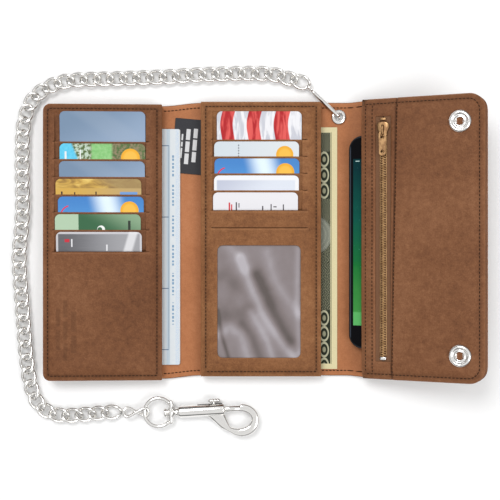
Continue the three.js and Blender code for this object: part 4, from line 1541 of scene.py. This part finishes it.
def noteMaterial():
    # cream note paper with a dark green border of lace, oval links and a large pale rosette
    s = Shader("notePaper", Roughness=0.8, Specular_IOR_Level=0.2)
    u, v, _ = s.split(s.flat())
    w = 66.0
    fibres = s.noise(s.flat(), 1.1, 4.0)
    cream = s.mix(fibres, (0.6, 0.53, 0.3), (0.74, 0.67, 0.42))
    weave = (
        (u * 2.9 + (v * 0.9).sine() * 2.2).sine() * (v * 3.3 + (u * 1.4).sine() * 1.6).sine()
    ).absolute()
    curl = s.noise(s.flat(), 0.9, 5.0, 0.7, 2.4)
    lace = s.step(weave * 0.5 + curl * 0.5, 0.42, 0.6)
    band = s.mix(lace, (0.016, 0.02, 0.012), (0.27, 0.27, 0.18))
    for start, count in ((15.5, 3), (118.0, 4)):
        pitch = 10.2
        turn = ((v - start) / pitch).fraction() - 0.5
        far = (((u - (w - 8.4)) / 2.7) ** 2.0 + (turn * (pitch / 4.4)) ** 2.0) ** 0.5
        here = inBox(s, u, v, w - 13, w - 3, start, start + pitch * count)
        link = s.step((far - 1.0).absolute(), 0.12, 0.2)
        core = s.mix(s.step(far, 0.3, 0.5), (0.3, 0.3, 0.2), (0.02, 0.025, 0.015))
        band = s.mix(here, band, s.mix(link, (0.45, 0.44, 0.3), core))
    rosette = disc(s, u, v, w - 16.0, 69.5, 12.6, 0.3)
    petals = s.step((((u - (w - 16.0)) ** 2.0 + (v - 69.5) ** 2.0) ** 0.5 * 2.4).sine(), -0.4, 0.4)
    band = s.mix(rosette, band, s.mix(petals * lace, (0.2, 0.21, 0.17), (0.33, 0.34, 0.27)))
    base = s.mix(inBox(s, u, v, w - 13.4, w - 4.4, 3.4, 152.6), cream, band)
    base = strokes(s, u, v, base, (0.03, 0.05, 0.03), [(w - 4.0, w - 3.7, 3.2, 152.8)])
    s.feed("Base Color", base)
    s.feed("Normal", s.bump(fibres + lace * 0.2, 0.02 * metre))
    return s.done()


def buildPapers():
    low, high = flatBox("cheque_booklet", "left")
    low, high = low + [0, 0, 0.4], high + [-0.5, 0, 0.05]
    rightEdge = high[0]
    booklet = slabGrid(
        "cheque_book", low, high, chequeMaterial(), "left", "cheque_booklet",
        lambda x, y: 0.06 * wave(x, y, 41, 60) - 0.1 * smooth((x - rightEdge + 3) / 3), radius=0.8,
    )
    # loose leaves that show as fine steps at the booklet's long edge
    leaf = Shader("looseLeaves", Roughness=0.8, Base_Color=(0.8, 0.8, 0.78, 1.0))
    leaf.feed(
        "Base Color", leaf.mix(leaf.noise(leaf.place(), 700.0), (0.72, 0.73, 0.72), (0.85, 0.85, 0.83))
    )
    parts = []
    for i, back in enumerate((0.0, 0.5, 0.2)):
        z = low[2] + 0.12 + i * 0.2
        x = np.array([high[0] + 0.05 - 0.12 * i, high[0] + 0.28 - back * 0.2])
        y = np.linspace(low[1] + 0.6 + back, high[1] - 0.4 - back, 40)
        X, Y = np.meshgrid(x, y, indexing="xy")
        grid = np.stack([X, Y, z + 0.03 * wave(X, Y, 50 + i, 40)], axis=-1)
        lowGrid = grid - [0, 0, 0.07]
        pts = np.vstack([grid.reshape(-1, 3), lowGrid.reshape(-1, 3)])
        n = 80
        faces = gridFaces(40, 2).tolist() + [tuple(f[::-1]) for f in gridFaces(40, 2, offset=n).tolist()]
        rim = [0, 1] + [r * 2 + 1 for r in range(1, 40)] + [78] + [r * 2 for r in range(38, 0, -1)]
        faces += [(b, a, a + n, b + n) for a, b in zip(rim, rim[1:] + rim[:1])]
        parts.append((pts, faces))
    leaves = gather("cheque_leaves", parts, leaf.done(), "cheque_booklet", "left")
    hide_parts("cheque_booklet")
    low, high = flatBox("banknote")
    note = slabGrid(
        "folding_note", low, high, noteMaterial(), "centre", "banknote", lambda x, y: 0 * x,
        bend=lambda x, y: 0.3 * smooth((x - 39) / 6) * (1 + 0.8 * wave(x, y, 61, 50)), radius=0.2,
    )
    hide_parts("banknote")
    low, high = flatBox("sewn_label")
    s = Shader("blackCard", Roughness=0.6, Specular_IOR_Level=0.2)
    u, v, _ = s.split(s.flat())
    speck = s.noise(s.flat(), 2.0, 4.0)
    base = s.mix(speck, (0.018, 0.018, 0.022), (0.05, 0.05, 0.056))
    # plain pale blocks in rows, in place of words
    rows = [
        (12.2, 14.8, [5.4, 12.5, 20.4, 28.0]), (7.6, 10.2, [6.0, 14.0, 21.8, 29.6]),
        (4.8, 5.8, [9.5, 14.5, 18.5, 26.0])
    ]
    for x0, x1, cuts in rows:
        blocks = [(x0, x1, y0 + 0.5, y1 - 0.5) for y0, y1 in zip(cuts, cuts[1:])]
        base = strokes(s, u, v, base, (0.62, 0.62, 0.63), blocks)
    s.feed("Base Color", base)
    s.feed("Normal", s.bump(speck, 0.02 * metre))
    tagLow, tagHigh = np.array([-54.8, low[1] - 0.6, 2.02]), np.array([high[0], high[1] + 0.2, 2.2])
    tag = slabGrid(
        "black_tag", tagLow, tagHigh, s.done(), "left", None, lambda x, y: 0 * x, radius=0.6, step=1.2,
        skew=-0.09,
        share=shareLeft,
    )
    blendFold(tag, "left", 2.1)
    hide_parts("sewn_label")


buildPapers()


filmFolds = [
    # strength, width, then places across and down the window as shares; a strength above nought makes a
    # ridge with a painted highlight, below nought a valley with painted shade
    (1.0, 0.05, (0.28, 0.12), (0.4, 0.36), (0.53, 0.6), (0.74, 0.83), (0.94, 1.02)),
    (0.8, 0.04, (0.4, 0.6), (0.5, 0.72), (0.6, 0.86), (0.67, 1.02)),
    (0.7, 0.05, (0.0, 0.79), (0.15, 0.73), (0.28, 0.8), (0.37, 1.02)),
    (0.6, 0.06, (0.12, 0.0), (0.25, 0.1), (0.32, 0.2)),
    (0.55, 0.05, (0.6, 0.06), (0.68, 0.3), (0.84, 0.48), (0.97, 0.6)),
    (0.6, 0.03, (0.97, 0.03), (0.955, 0.5), (0.985, 0.95)),
    (-1.0, 0.06, (0.47, 0.26), (0.58, 0.42), (0.68, 0.6), (0.87, 0.86)),
    (-0.5, 0.07, (0.02, 0.28), (0.1, 0.25), (0.22, 0.36)),
    (-1.0, 0.02, (0.0, 0.58), (0.05, 0.8), (0.14, 1.02)),
    (-0.6, 0.04, (0.3, 0.7), (0.42, 0.82), (0.52, 1.02)),
    (-0.5, 0.08, (0.1, 0.62), (0.3, 0.62), (0.42, 0.55)),
]


def filmFold(x, y):
    # soft ridges and valleys along curved lines, used as height and as painted light: ridges painted
    # lighter, valleys painted darker
    x0, x1, y0, y1 = idHole
    u, v = (x - x0) / (x1 - x0), (y1 - y) / (y1 - y0)
    total = 0.16 * wave(x, y, 77, 40)
    for strength, width, *places in filmFolds:
        nearest = np.full(np.shape(x), 9.0)
        for (ax, ay), (bx, by) in zip(places, places[1:]):
            t = np.clip(
                ((u - ax) * (bx - ax) + (v - ay) * (by - ay)) / ((bx - ax) ** 2 + (by - ay) ** 2), 0, 1
            )
            nearest = np.minimum(
                nearest, np.hypot(u - ax - t * (bx - ax), (v - ay - t * (by - ay)) * 1.3)
            )
        total = total + strength * np.exp(-((nearest / (width * 1.3)) ** 2))
    return total


def buildFilm():
    # the clear pocket's film, glossy and softly folded over the dark inside of its pocket, with painted
    # highlights on its ridges and painted shade in its valleys
    low, high = flatBox("id_window_film")
    s = Shader("wrinkledFilmPaintedFoldLight", Roughness=0.3, Coat_Weight=0.35, Coat_Roughness=0.15)
    # painted highlights and painted shade: the fold attribute, high on ridges and low in valleys, sets
    # the colour from dark to pale
    fold = s.attribute("fold") * 0.5 + 0.5
    haze = s.noise(s.place(), 160.0, 3.0, 0.5)
    s.feed("Base Color", s.ramp(
        fold * 0.85 + haze * 0.15, (0.1, (0.085, 0.065, 0.06)), (0.42, (0.185, 0.15, 0.15)), (
            0.68, (0.26, 0.225, 0.235)
        ),
        (1.0, (0.42, 0.39, 0.42)),
    ))
    s.feed("Normal", s.bump(haze, 0.1 * metre))
    film = slabGrid(
        "id_film", low + [2, 2, 0.0], high - [2, 1, 0.5], s.done(), "centre", "centre_section",
        lambda x, y: 0.5 * filmFold(x, y), step=1.0, radius=1, attributes={"fold": filmFold},
    )
    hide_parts("id_window_film")
    back = frame["nodes"]["id_pocket_back"]
    back.data.materials.clear()
    back.data.materials.append(tan)


buildFilm()


def buildPhone():
    low, high = flatBox("phone", "flap")
    width, long_, r = high[0] - low[0], high[1] - low[1], 9.0
    middleX, middleY = (low[0] + high[0]) / 2, (low[1] + high[1]) / 2
    angle = np.linspace(0, 2 * math.pi, 96, endpoint=False)
    hx, hy = width / 2, long_ / 2

    def outline(inset, z):
        rr = max(r - inset, 0.8)
        sx, sy = np.sign(np.cos(angle)), np.sign(np.sin(angle))
        x = middleX + sx * (hx - inset - rr) + rr * np.cos(angle)
        y = middleY + sy * (hy - inset - rr) + rr * np.sin(angle)
        return np.stack([x, y, np.full(len(angle), z)], axis=1)

    z0, z1 = low[2], high[2] - 0.15
    shell = [
        (8.0, z0 + 0.05), (2.6, z0 + 0.05), (1.0, z0 + 0.45), (0.25, z0 + 1.5), (0.0, z0 + 3.0),
        (0.0, z1 - 2.8), (0.2, z1 - 1.3), (0.8, z1 - 0.5), (1.3, z1 - 0.42), (8.0, z1 - 0.42)
    ]
    rings = [outline(i, z) for i, z in shell]
    n = len(angle)
    faces = gridFaces(len(rings), n, closeColumns=True).tolist()
    faces.append(tuple(reversed(range(n))))
    faces.append(tuple(range((len(rings) - 1) * n, len(rings) * n)))
    body = Shader("phoneShell", Roughness=0.32, Metallic=0.5, Specular_IOR_Level=0.3)
    haze = body.noise(body.place(), 400.0, 3.0)
    body.feed("Base Color", body.mix(haze, (0.012, 0.016, 0.02), (0.03, 0.038, 0.048)))
    body.feed("Roughness", haze * 0.1 + 0.27)
    case = makeObject(
        "phone_shell", lay(np.vstack(rings), "flap"), faces, body.done(), "phone", shade=True
    )
    finishMesh(case)
    glass = [
        (8.0, z1 - 0.45), (1.35, z1 - 0.45), (1.35, z1 - 0.16), (1.5, z1 - 0.05), (1.8, z1), (8.0, z1)
    ]
    rings = [outline(i, z) for i, z in glass]
    faces = gridFaces(len(rings), n, closeColumns=True).tolist()
    faces.append(tuple(reversed(range(n))))
    faces.append(tuple(range((len(rings) - 1) * n, len(rings) * n)))
    s = Shader("phoneScreen", Roughness=0.12, Specular_IOR_Level=0.06)
    u, v, _ = s.split(s.flat())
    glow = s.noise(s.flat(), 0.05, 5.0, 0.6, 1.0)
    spark = s.step(s.noise(s.flat(), 0.9, 3.0), 0.68, 0.74)
    picture = s.ramp(
        v / 136.0 + glow * 0.2, (
            0.25, (0.002, 0.03, 0.035)
        ), (0.5, (0.004, 0.085, 0.06)), (0.72, (0.01, 0.16, 0.035)),
        (0.95, (0.06, 0.3, 0.06)),
    )
    picture = s.mix(spark * 0.5, picture, (0.12, 0.42, 0.36))
    picture = s.mix(s.step(v, 112.0, 113.0), picture, (0.1, 0.42, 0.12))
    lit = inBox(s, u, v, 3.4, width - 3.4, 15.0, long_ - 15.0)
    base = s.mix(lit, (0.002, 0.002, 0.003), picture)
    base = strokes(s, u, v, base, (0.5, 0.7, 0.68), [(5.0, 7.6, 16.2, 16.7)])
    # painted highlight: a pale bluish line along the glass's left rim only
    leftRimHighlight = 1.0 - s.step(u, 1.7, 2.0)
    s.feed("Base Color", s.mix(leftRimHighlight, base, (0.05, 0.065, 0.09)))
    s.feed("Roughness", glow * 0.05 + 0.1)
    points = np.vstack(rings)
    uv = np.stack([points[:, 0] - low[0], high[1] - points[:, 1]], axis=1)
    screen = makeObject("phone_glass", lay(points, "flap"), faces, s.done(), "phone", uv=uv, shade=False)
    finishMesh(screen)
    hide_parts("phone")


buildPhone()
print("papers, film and phone ready")


def buildStop(end, material, crown):
    # a small crowned bar across the teeth at one end of the zipper
    low, high = flatBox(f"zipper_{end}_stop", "flap")
    middle, half = (low[0] + high[0]) / 2, 2.05
    stop = slabGrid(
        f"{end}_stop", low, high - [0, 0, crown], material, "flap", "snap_flap",
        lambda x, y: crown * np.sqrt(np.clip(1 - ((x - middle) / half) ** 2, 0, 1)), step=0.3, radius=0.5,
    )
    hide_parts(f"zipper_{end}_stop")
    return stop


coilShape = {
    "low": -73.6, "high": 73.4, "pitch": 1.5, "level": 10.95, "outer": 2.05, "reach": 2.75, "rise": 0.8
}


def buildZipper():
    middle = folds["flap"]["x"] + (flapShape["zipLeft"] + flapShape["zipRight"]) / 2
    for name in ("zipper_tape_left", "zipper_tape_right"):
        node = frame["nodes"][name]
        node.data.materials.clear()
        node.data.materials.append(tape)
    # coil turns: small leaning humps on each side that mesh down the middle
    y0, y1, pitch, level = (coilShape[k] for k in ("low", "high", "pitch", "level"))
    for side, name in ((-1, "zipper_teeth_left"), (1, "zipper_teeth_right")):
        parts = []
        for k in range(int((y1 - y0) / pitch)):
            y = y0 + k * pitch + (pitch / 2 if side > 0 else 0)
            t = np.linspace(0, 1, 7)
            x = middle + side * (coilShape["outer"] - coilShape["reach"] * t)
            height = level + coilShape["rise"] * np.sin(0.3 + t * 2.3)
            path = np.stack([x, y + 0.12 * np.sin(t * math.pi), height], axis=1)
            parts.append(
                tubeParts(path, [0.28, 0.34, 0.36, 0.37, 0.38, 0.38, 0.3], sides=6, up=(0, 1, 0.01))
            )
        x = np.full(60, middle + side * 2.0)
        path = np.stack([x, np.linspace(y0 - 0.6, y1 + 0.6, 60), np.full(60, level)], axis=1)
        parts.append(tubeParts(path, 0.3, sides=8))
        teeth = gather(f"coil_{name[13:]}", parts, coil, "snap_flap", "flap")
        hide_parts(name)
    finishMesh(buildStop("bottom", nickel, 0.5), merge=True)
    buildStop("top", brass, 0.4)
    # slider: a shouldered, waisted plate with a crown loop
    low, high = flatBox("zipper_slider", "flap")
    cy, cx = low[1], (low[0] + high[0]) / 2
    long_ = high[1] - low[1]
    v = np.linspace(0, 1, 40)
    u = np.linspace(-1, 1, 25)
    V, U = np.meshgrid(v, u, indexing="ij")
    half = 2.9 + 1.1 * smooth((V - 0.25) / 0.4) - 0.3 * smooth((V - 0.85) / 0.15)
    endRound = np.sqrt(np.clip(1 - (np.abs(V - 0.5) / 0.5) ** 8, 0, 1)) * 0.9 + 0.1
    X = cx + U * half * endRound
    Y = cy + V * long_
    crown = 0.85 * np.sqrt(np.clip(1 - U**4, 0, 1)) * np.clip(endRound * 1.4, 0, 1)
    Ztop = 12.05 + crown
    ZLow = np.full_like(Ztop, 12.0)
    n = V.size
    pts = np.vstack(
        [np.stack([X, Y, Ztop], -1).reshape(-1, 3), np.stack([X, Y, ZLow], -1).reshape(-1, 3)]
    )
    rows, columns = V.shape
    faces = gridFaces(rows, columns).tolist() + [
        tuple(f[::-1]) for f in gridFaces(rows, columns, offset=n).tolist()
    ]
    rim = list(range(columns)) + [r * columns + columns - 1 for r in range(1, rows)]
    rim += [
        (rows - 1) * columns + c for c in range(columns - 2, -1, -1)
    ] + [r * columns for r in range(rows - 2, 0, -1)]
    faces += [(b, a, a + n, b + n) for a, b in zip(rim, rim[1:] + rim[:1])]
    parts = [(pts, faces)]
    t = np.linspace(0, math.pi, 18)
    arch = np.stack(
        [np.full(18, cx), cy + 4.2 - 2.9 * np.cos(t), 12.55 + 1.55 * np.sin(t) ** 0.7], axis=1
    )
    parts.append(tubeParts(arch, [0.75] + [0.62] * 16 + [0.75], sides=12, up=(1, 0, 0), flat=1.3))
    slider = gather("slider_body", parts, brass, "zipper_slider", "flap")
    finishMesh(slider)
    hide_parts("zipper_slider")
    # pull tab: a tapered leaf with a square eye above and a round hole below
    low, high = flatBox("zipper_pull", "flap")
    y0, y1, mid = low[1], high[1], (low[0] + high[0]) / 2
    ys = np.linspace(0, 1, 24)

    def halfAt(s):
        return 2.15 + 0.3 * smooth(s * 1.1)

    right = [(mid + halfAt(s), y0 + 1.4 + (y1 - y0 - 2.4) * s) for s in ys]
    topArc = [
        (mid + halfAt(1.0) - 1.0 + math.cos(a), y1 - 1.0 + math.sin(a))
        for a in np.linspace(0, math.pi / 2, 6)[1:]
    ]
    topArcL = [(2 * mid - x, y) for x, y in reversed(topArc)]
    left = [(2 * mid - x, y) for x, y in reversed(right)]
    low_ = [
        (mid - 1.95 * math.cos(a), y0 + 1.4 - 1.4 * math.sin(a))
        for a in np.linspace(0, math.pi, 14)[1:-1]
    ]
    loop = right + topArc + topArcL + left + low_

    def pathOf(pointsList):
        curve = bpy.data.curves.new("outline", "CURVE")
        curve.dimensions = "2D"
        for pts_ in pointsList:
            spline = curve.splines.new("POLY")
            spline.points.add(len(pts_) - 1)
            for p, (x, y) in zip(spline.points, pts_):
                p.co = (x * metre, y * metre, 0, 1)
            spline.use_cyclic_u = True
        curve.fill_mode = "BOTH"
        curve.extrude = 0.13 * metre
        curve.bevel_depth = 0.07 * metre
        curve.bevel_resolution = 2
        curve.offset = -0.07 * metre
        holder = bpy.data.objects.new("outline", curve)
        bpy.context.collection.objects.link(holder)
        depsgraph = bpy.context.evaluated_depsgraph_get()
        mesh = bpy.data.meshes.new_from_object(holder.evaluated_get(depsgraph))
        bpy.data.objects.remove(holder)
        return mesh

    def ring(centreY, reachX, reachY, sharp):
        # round at sharp 1.0, squarer below it
        points = []
        for a in np.linspace(0, 2 * math.pi, 24, endpoint=False):
            x = mid + reachX * np.sign(math.cos(a)) * abs(math.cos(a)) ** sharp
            points.append((x, centreY + reachY * np.sign(math.sin(a)) * abs(math.sin(a)) ** sharp))
        return points

    mesh = pathOf([loop, ring(y0 + 2.6, 1.15, 1.15, 1.0), ring(y1 - 2.55, 1.3, 1.7, 0.5)])
    flat = np.empty(len(mesh.vertices) * 3)
    mesh.vertices.foreach_get("co", flat)
    pts = flat.reshape(-1, 3) / metre
    pts[:, 2] += (low[2] + high[2]) / 2
    mesh.vertices.foreach_set("co", (lay(pts, "flap") * metre).ravel())
    pull = bpy.data.objects.new("pull_tab", mesh)
    bpy.context.collection.objects.link(pull)
    mesh.materials.clear()
    mesh.materials.append(brass)
    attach(pull, "zipper_pull")
    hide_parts("zipper_pull")
    finishMesh(pull)


buildZipper()


def buildSnaps():
    x, yHalf = socketAt[0], abs(socketAt[1])
    socket = [
        (2.35, 10.6), (2.35, 12.5), (2.55, 12.85), (2.95, 12.95), (3.3, 12.75), (3.6, 12.55),
        (4.1, 12.55), (4.5, 12.9), (4.9, 13.35), (5.4, 13.55), (5.9, 13.45), (6.5, 13.0), (6.95, 12.45),
        (7.1, 11.95), (6.9, 11.8), (3.0, 11.8), (3.0, 10.6), (2.35, 10.6),
    ]
    pit = [(0, 10.7), (2.33, 10.7), (2.33, 11.9), (0, 11.9)]
    cap = [
        (0, -1.5), (2.2, -1.42), (4.2, -1.15), (5.7, -0.7), (6.35, -0.3), (6.4, -0.05), (6.2, 0.02),
        (0, 0.02)
    ]
    stud = [
        (0, -1.68), (1.9, -1.68), (2.6, -1.5), (2.95, -1.15), (2.75, -0.85), (2.35, -0.65),
        (2.4, -0.45), (3.6, -0.4), (4.1, -0.2), (4.2, 0.02), (0, 0.02),
    ]
    studLow, studHigh = flatBox("upper_snap_stud", "left")
    studX = (studLow[0] + studHigh[0]) / 2
    for side, sign in (("upper", 1), ("lower", -1)):
        y = sign * yHalf
        ring = gather(
            f"{side}_socket_ring", [turnedParts(socket[:-1][::-1] + [socket[-1]], (x, y, 0), 48)], nickel,
            "snap_flap", "flap"
        )
        finishMesh(ring)
        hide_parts(f"{side}_snap_socket")
        # painted shade: a dark cylinder in the socket's hole
        hole = gather(
            f"{side}_socket_pit", [turnedParts(pit, (x, y, 0), 24)], paintedHoleShade, "snap_flap", "flap"
        )
        finishMesh(hole)
        # two spring bars that grip the stud
        bars = []
        for offset in (-1.95, 1.95):
            path = np.stack(
                [np.full(8, x + offset), y + np.linspace(-1.2, 1.2, 8), np.full(8, 12.0)], axis=1
            )
            bars.append(tubeParts(path, 0.26, sides=8))
        springs = gather(f"{side}_socket_springs", bars, nickel, "snap_flap", "flap")
        button = gather(
            f"{side}_cap_button", [turnedParts(cap, (x, y, 0), 48)], nickel, "snap_flap", "flap"
        )
        finishMesh(button)
        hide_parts(f"{side}_snap_cap")
        post = gather(
            f"{side}_stud_button", [turnedParts(stud, (studX, y, 0), 40)], nickel, "left_leaf", "left"
        )
        finishMesh(post)
        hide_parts(f"{side}_snap_stud")
    low, high = flatBox("chain_eyelet")
    cx, cy = (low[0] + high[0]) / 2, (low[1] + high[1]) / 2
    eyelet = [
        (2.6, -0.25), (2.6, 2.3), (2.75, 2.7), (3.1, 2.88), (3.7, 2.9), (4.3, 2.7), (4.7, 2.35),
        (4.8, 2.05), (4.5, 1.98), (3.0, 1.98), (3.0, 0.08), (4.4, 0.08), (4.6, -0.1), (4.4, -0.3),
        (2.9, -0.35),
    ]
    rivet = gather(
        "eyelet_ring", [turnedParts(eyelet + [eyelet[0]], (cx, cy, 0), 48)], nickel, "centre_section"
    )
    finishMesh(rivet)
    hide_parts("chain_eyelet")


buildSnaps()
print("zipper and snaps ready")


def addStage():
    mesh = bpy.data.meshes.new("floor")
    size = 3.0
    mesh.from_pydata(
        [(-size, -size, -0.0005), (size, -size, -0.0005), (size, size, -0.0005), (-size, size, -0.0005)],
        [], [(0, 1, 2, 3)]
    )
    floor = bpy.data.objects.new("floor", mesh)
    bpy.context.collection.objects.link(floor)
    s = Shader("paleFloor", Roughness=0.9, Base_Color=(0.95, 0.95, 0.95, 1.0))
    mesh.materials.append(s.done())
    addLight("key", (-0.5, 0.75, 1.5), (0, 0, 0), 0.8, 12)
    addLight("fill", (0.9, -0.5, 1.3), (0, 0, 0), 0.9, 6)
    # a pale dome that darkens towards the horizon, so that bright metal has something dark to show
    world = bpy.data.worlds.new("studio")
    bpy.context.scene.world = world
    world.use_nodes = True
    tree = world.node_tree
    direction = tree.nodes.new("ShaderNodeTexCoord")
    parts = tree.nodes.new("ShaderNodeSeparateXYZ")
    ramp = tree.nodes.new("ShaderNodeValToRGB")
    for place, tone in ((0.0, 0.9), (0.05, 0.8), (0.14, 0.08), (0.32, 0.05), (0.48, 0.75), (0.66, 1.12)):
        element = ramp.color_ramp.elements[0] if place == 0.0 else ramp.color_ramp.elements.new(place)
        element.position = place
        element.color = (tone, tone, tone, 1.0)
    tree.links.new(direction.outputs["Generated"], parts.inputs[0])
    tree.links.new(parts.outputs["Z"], ramp.inputs[0])
    tree.links.new(ramp.outputs["Color"], tree.nodes["Background"].inputs["Color"])
    tree.nodes["Background"].inputs["Strength"].default_value = 0.8
    bpy.context.scene.view_settings.view_transform = "Standard"


addStage()
print("scene ready")
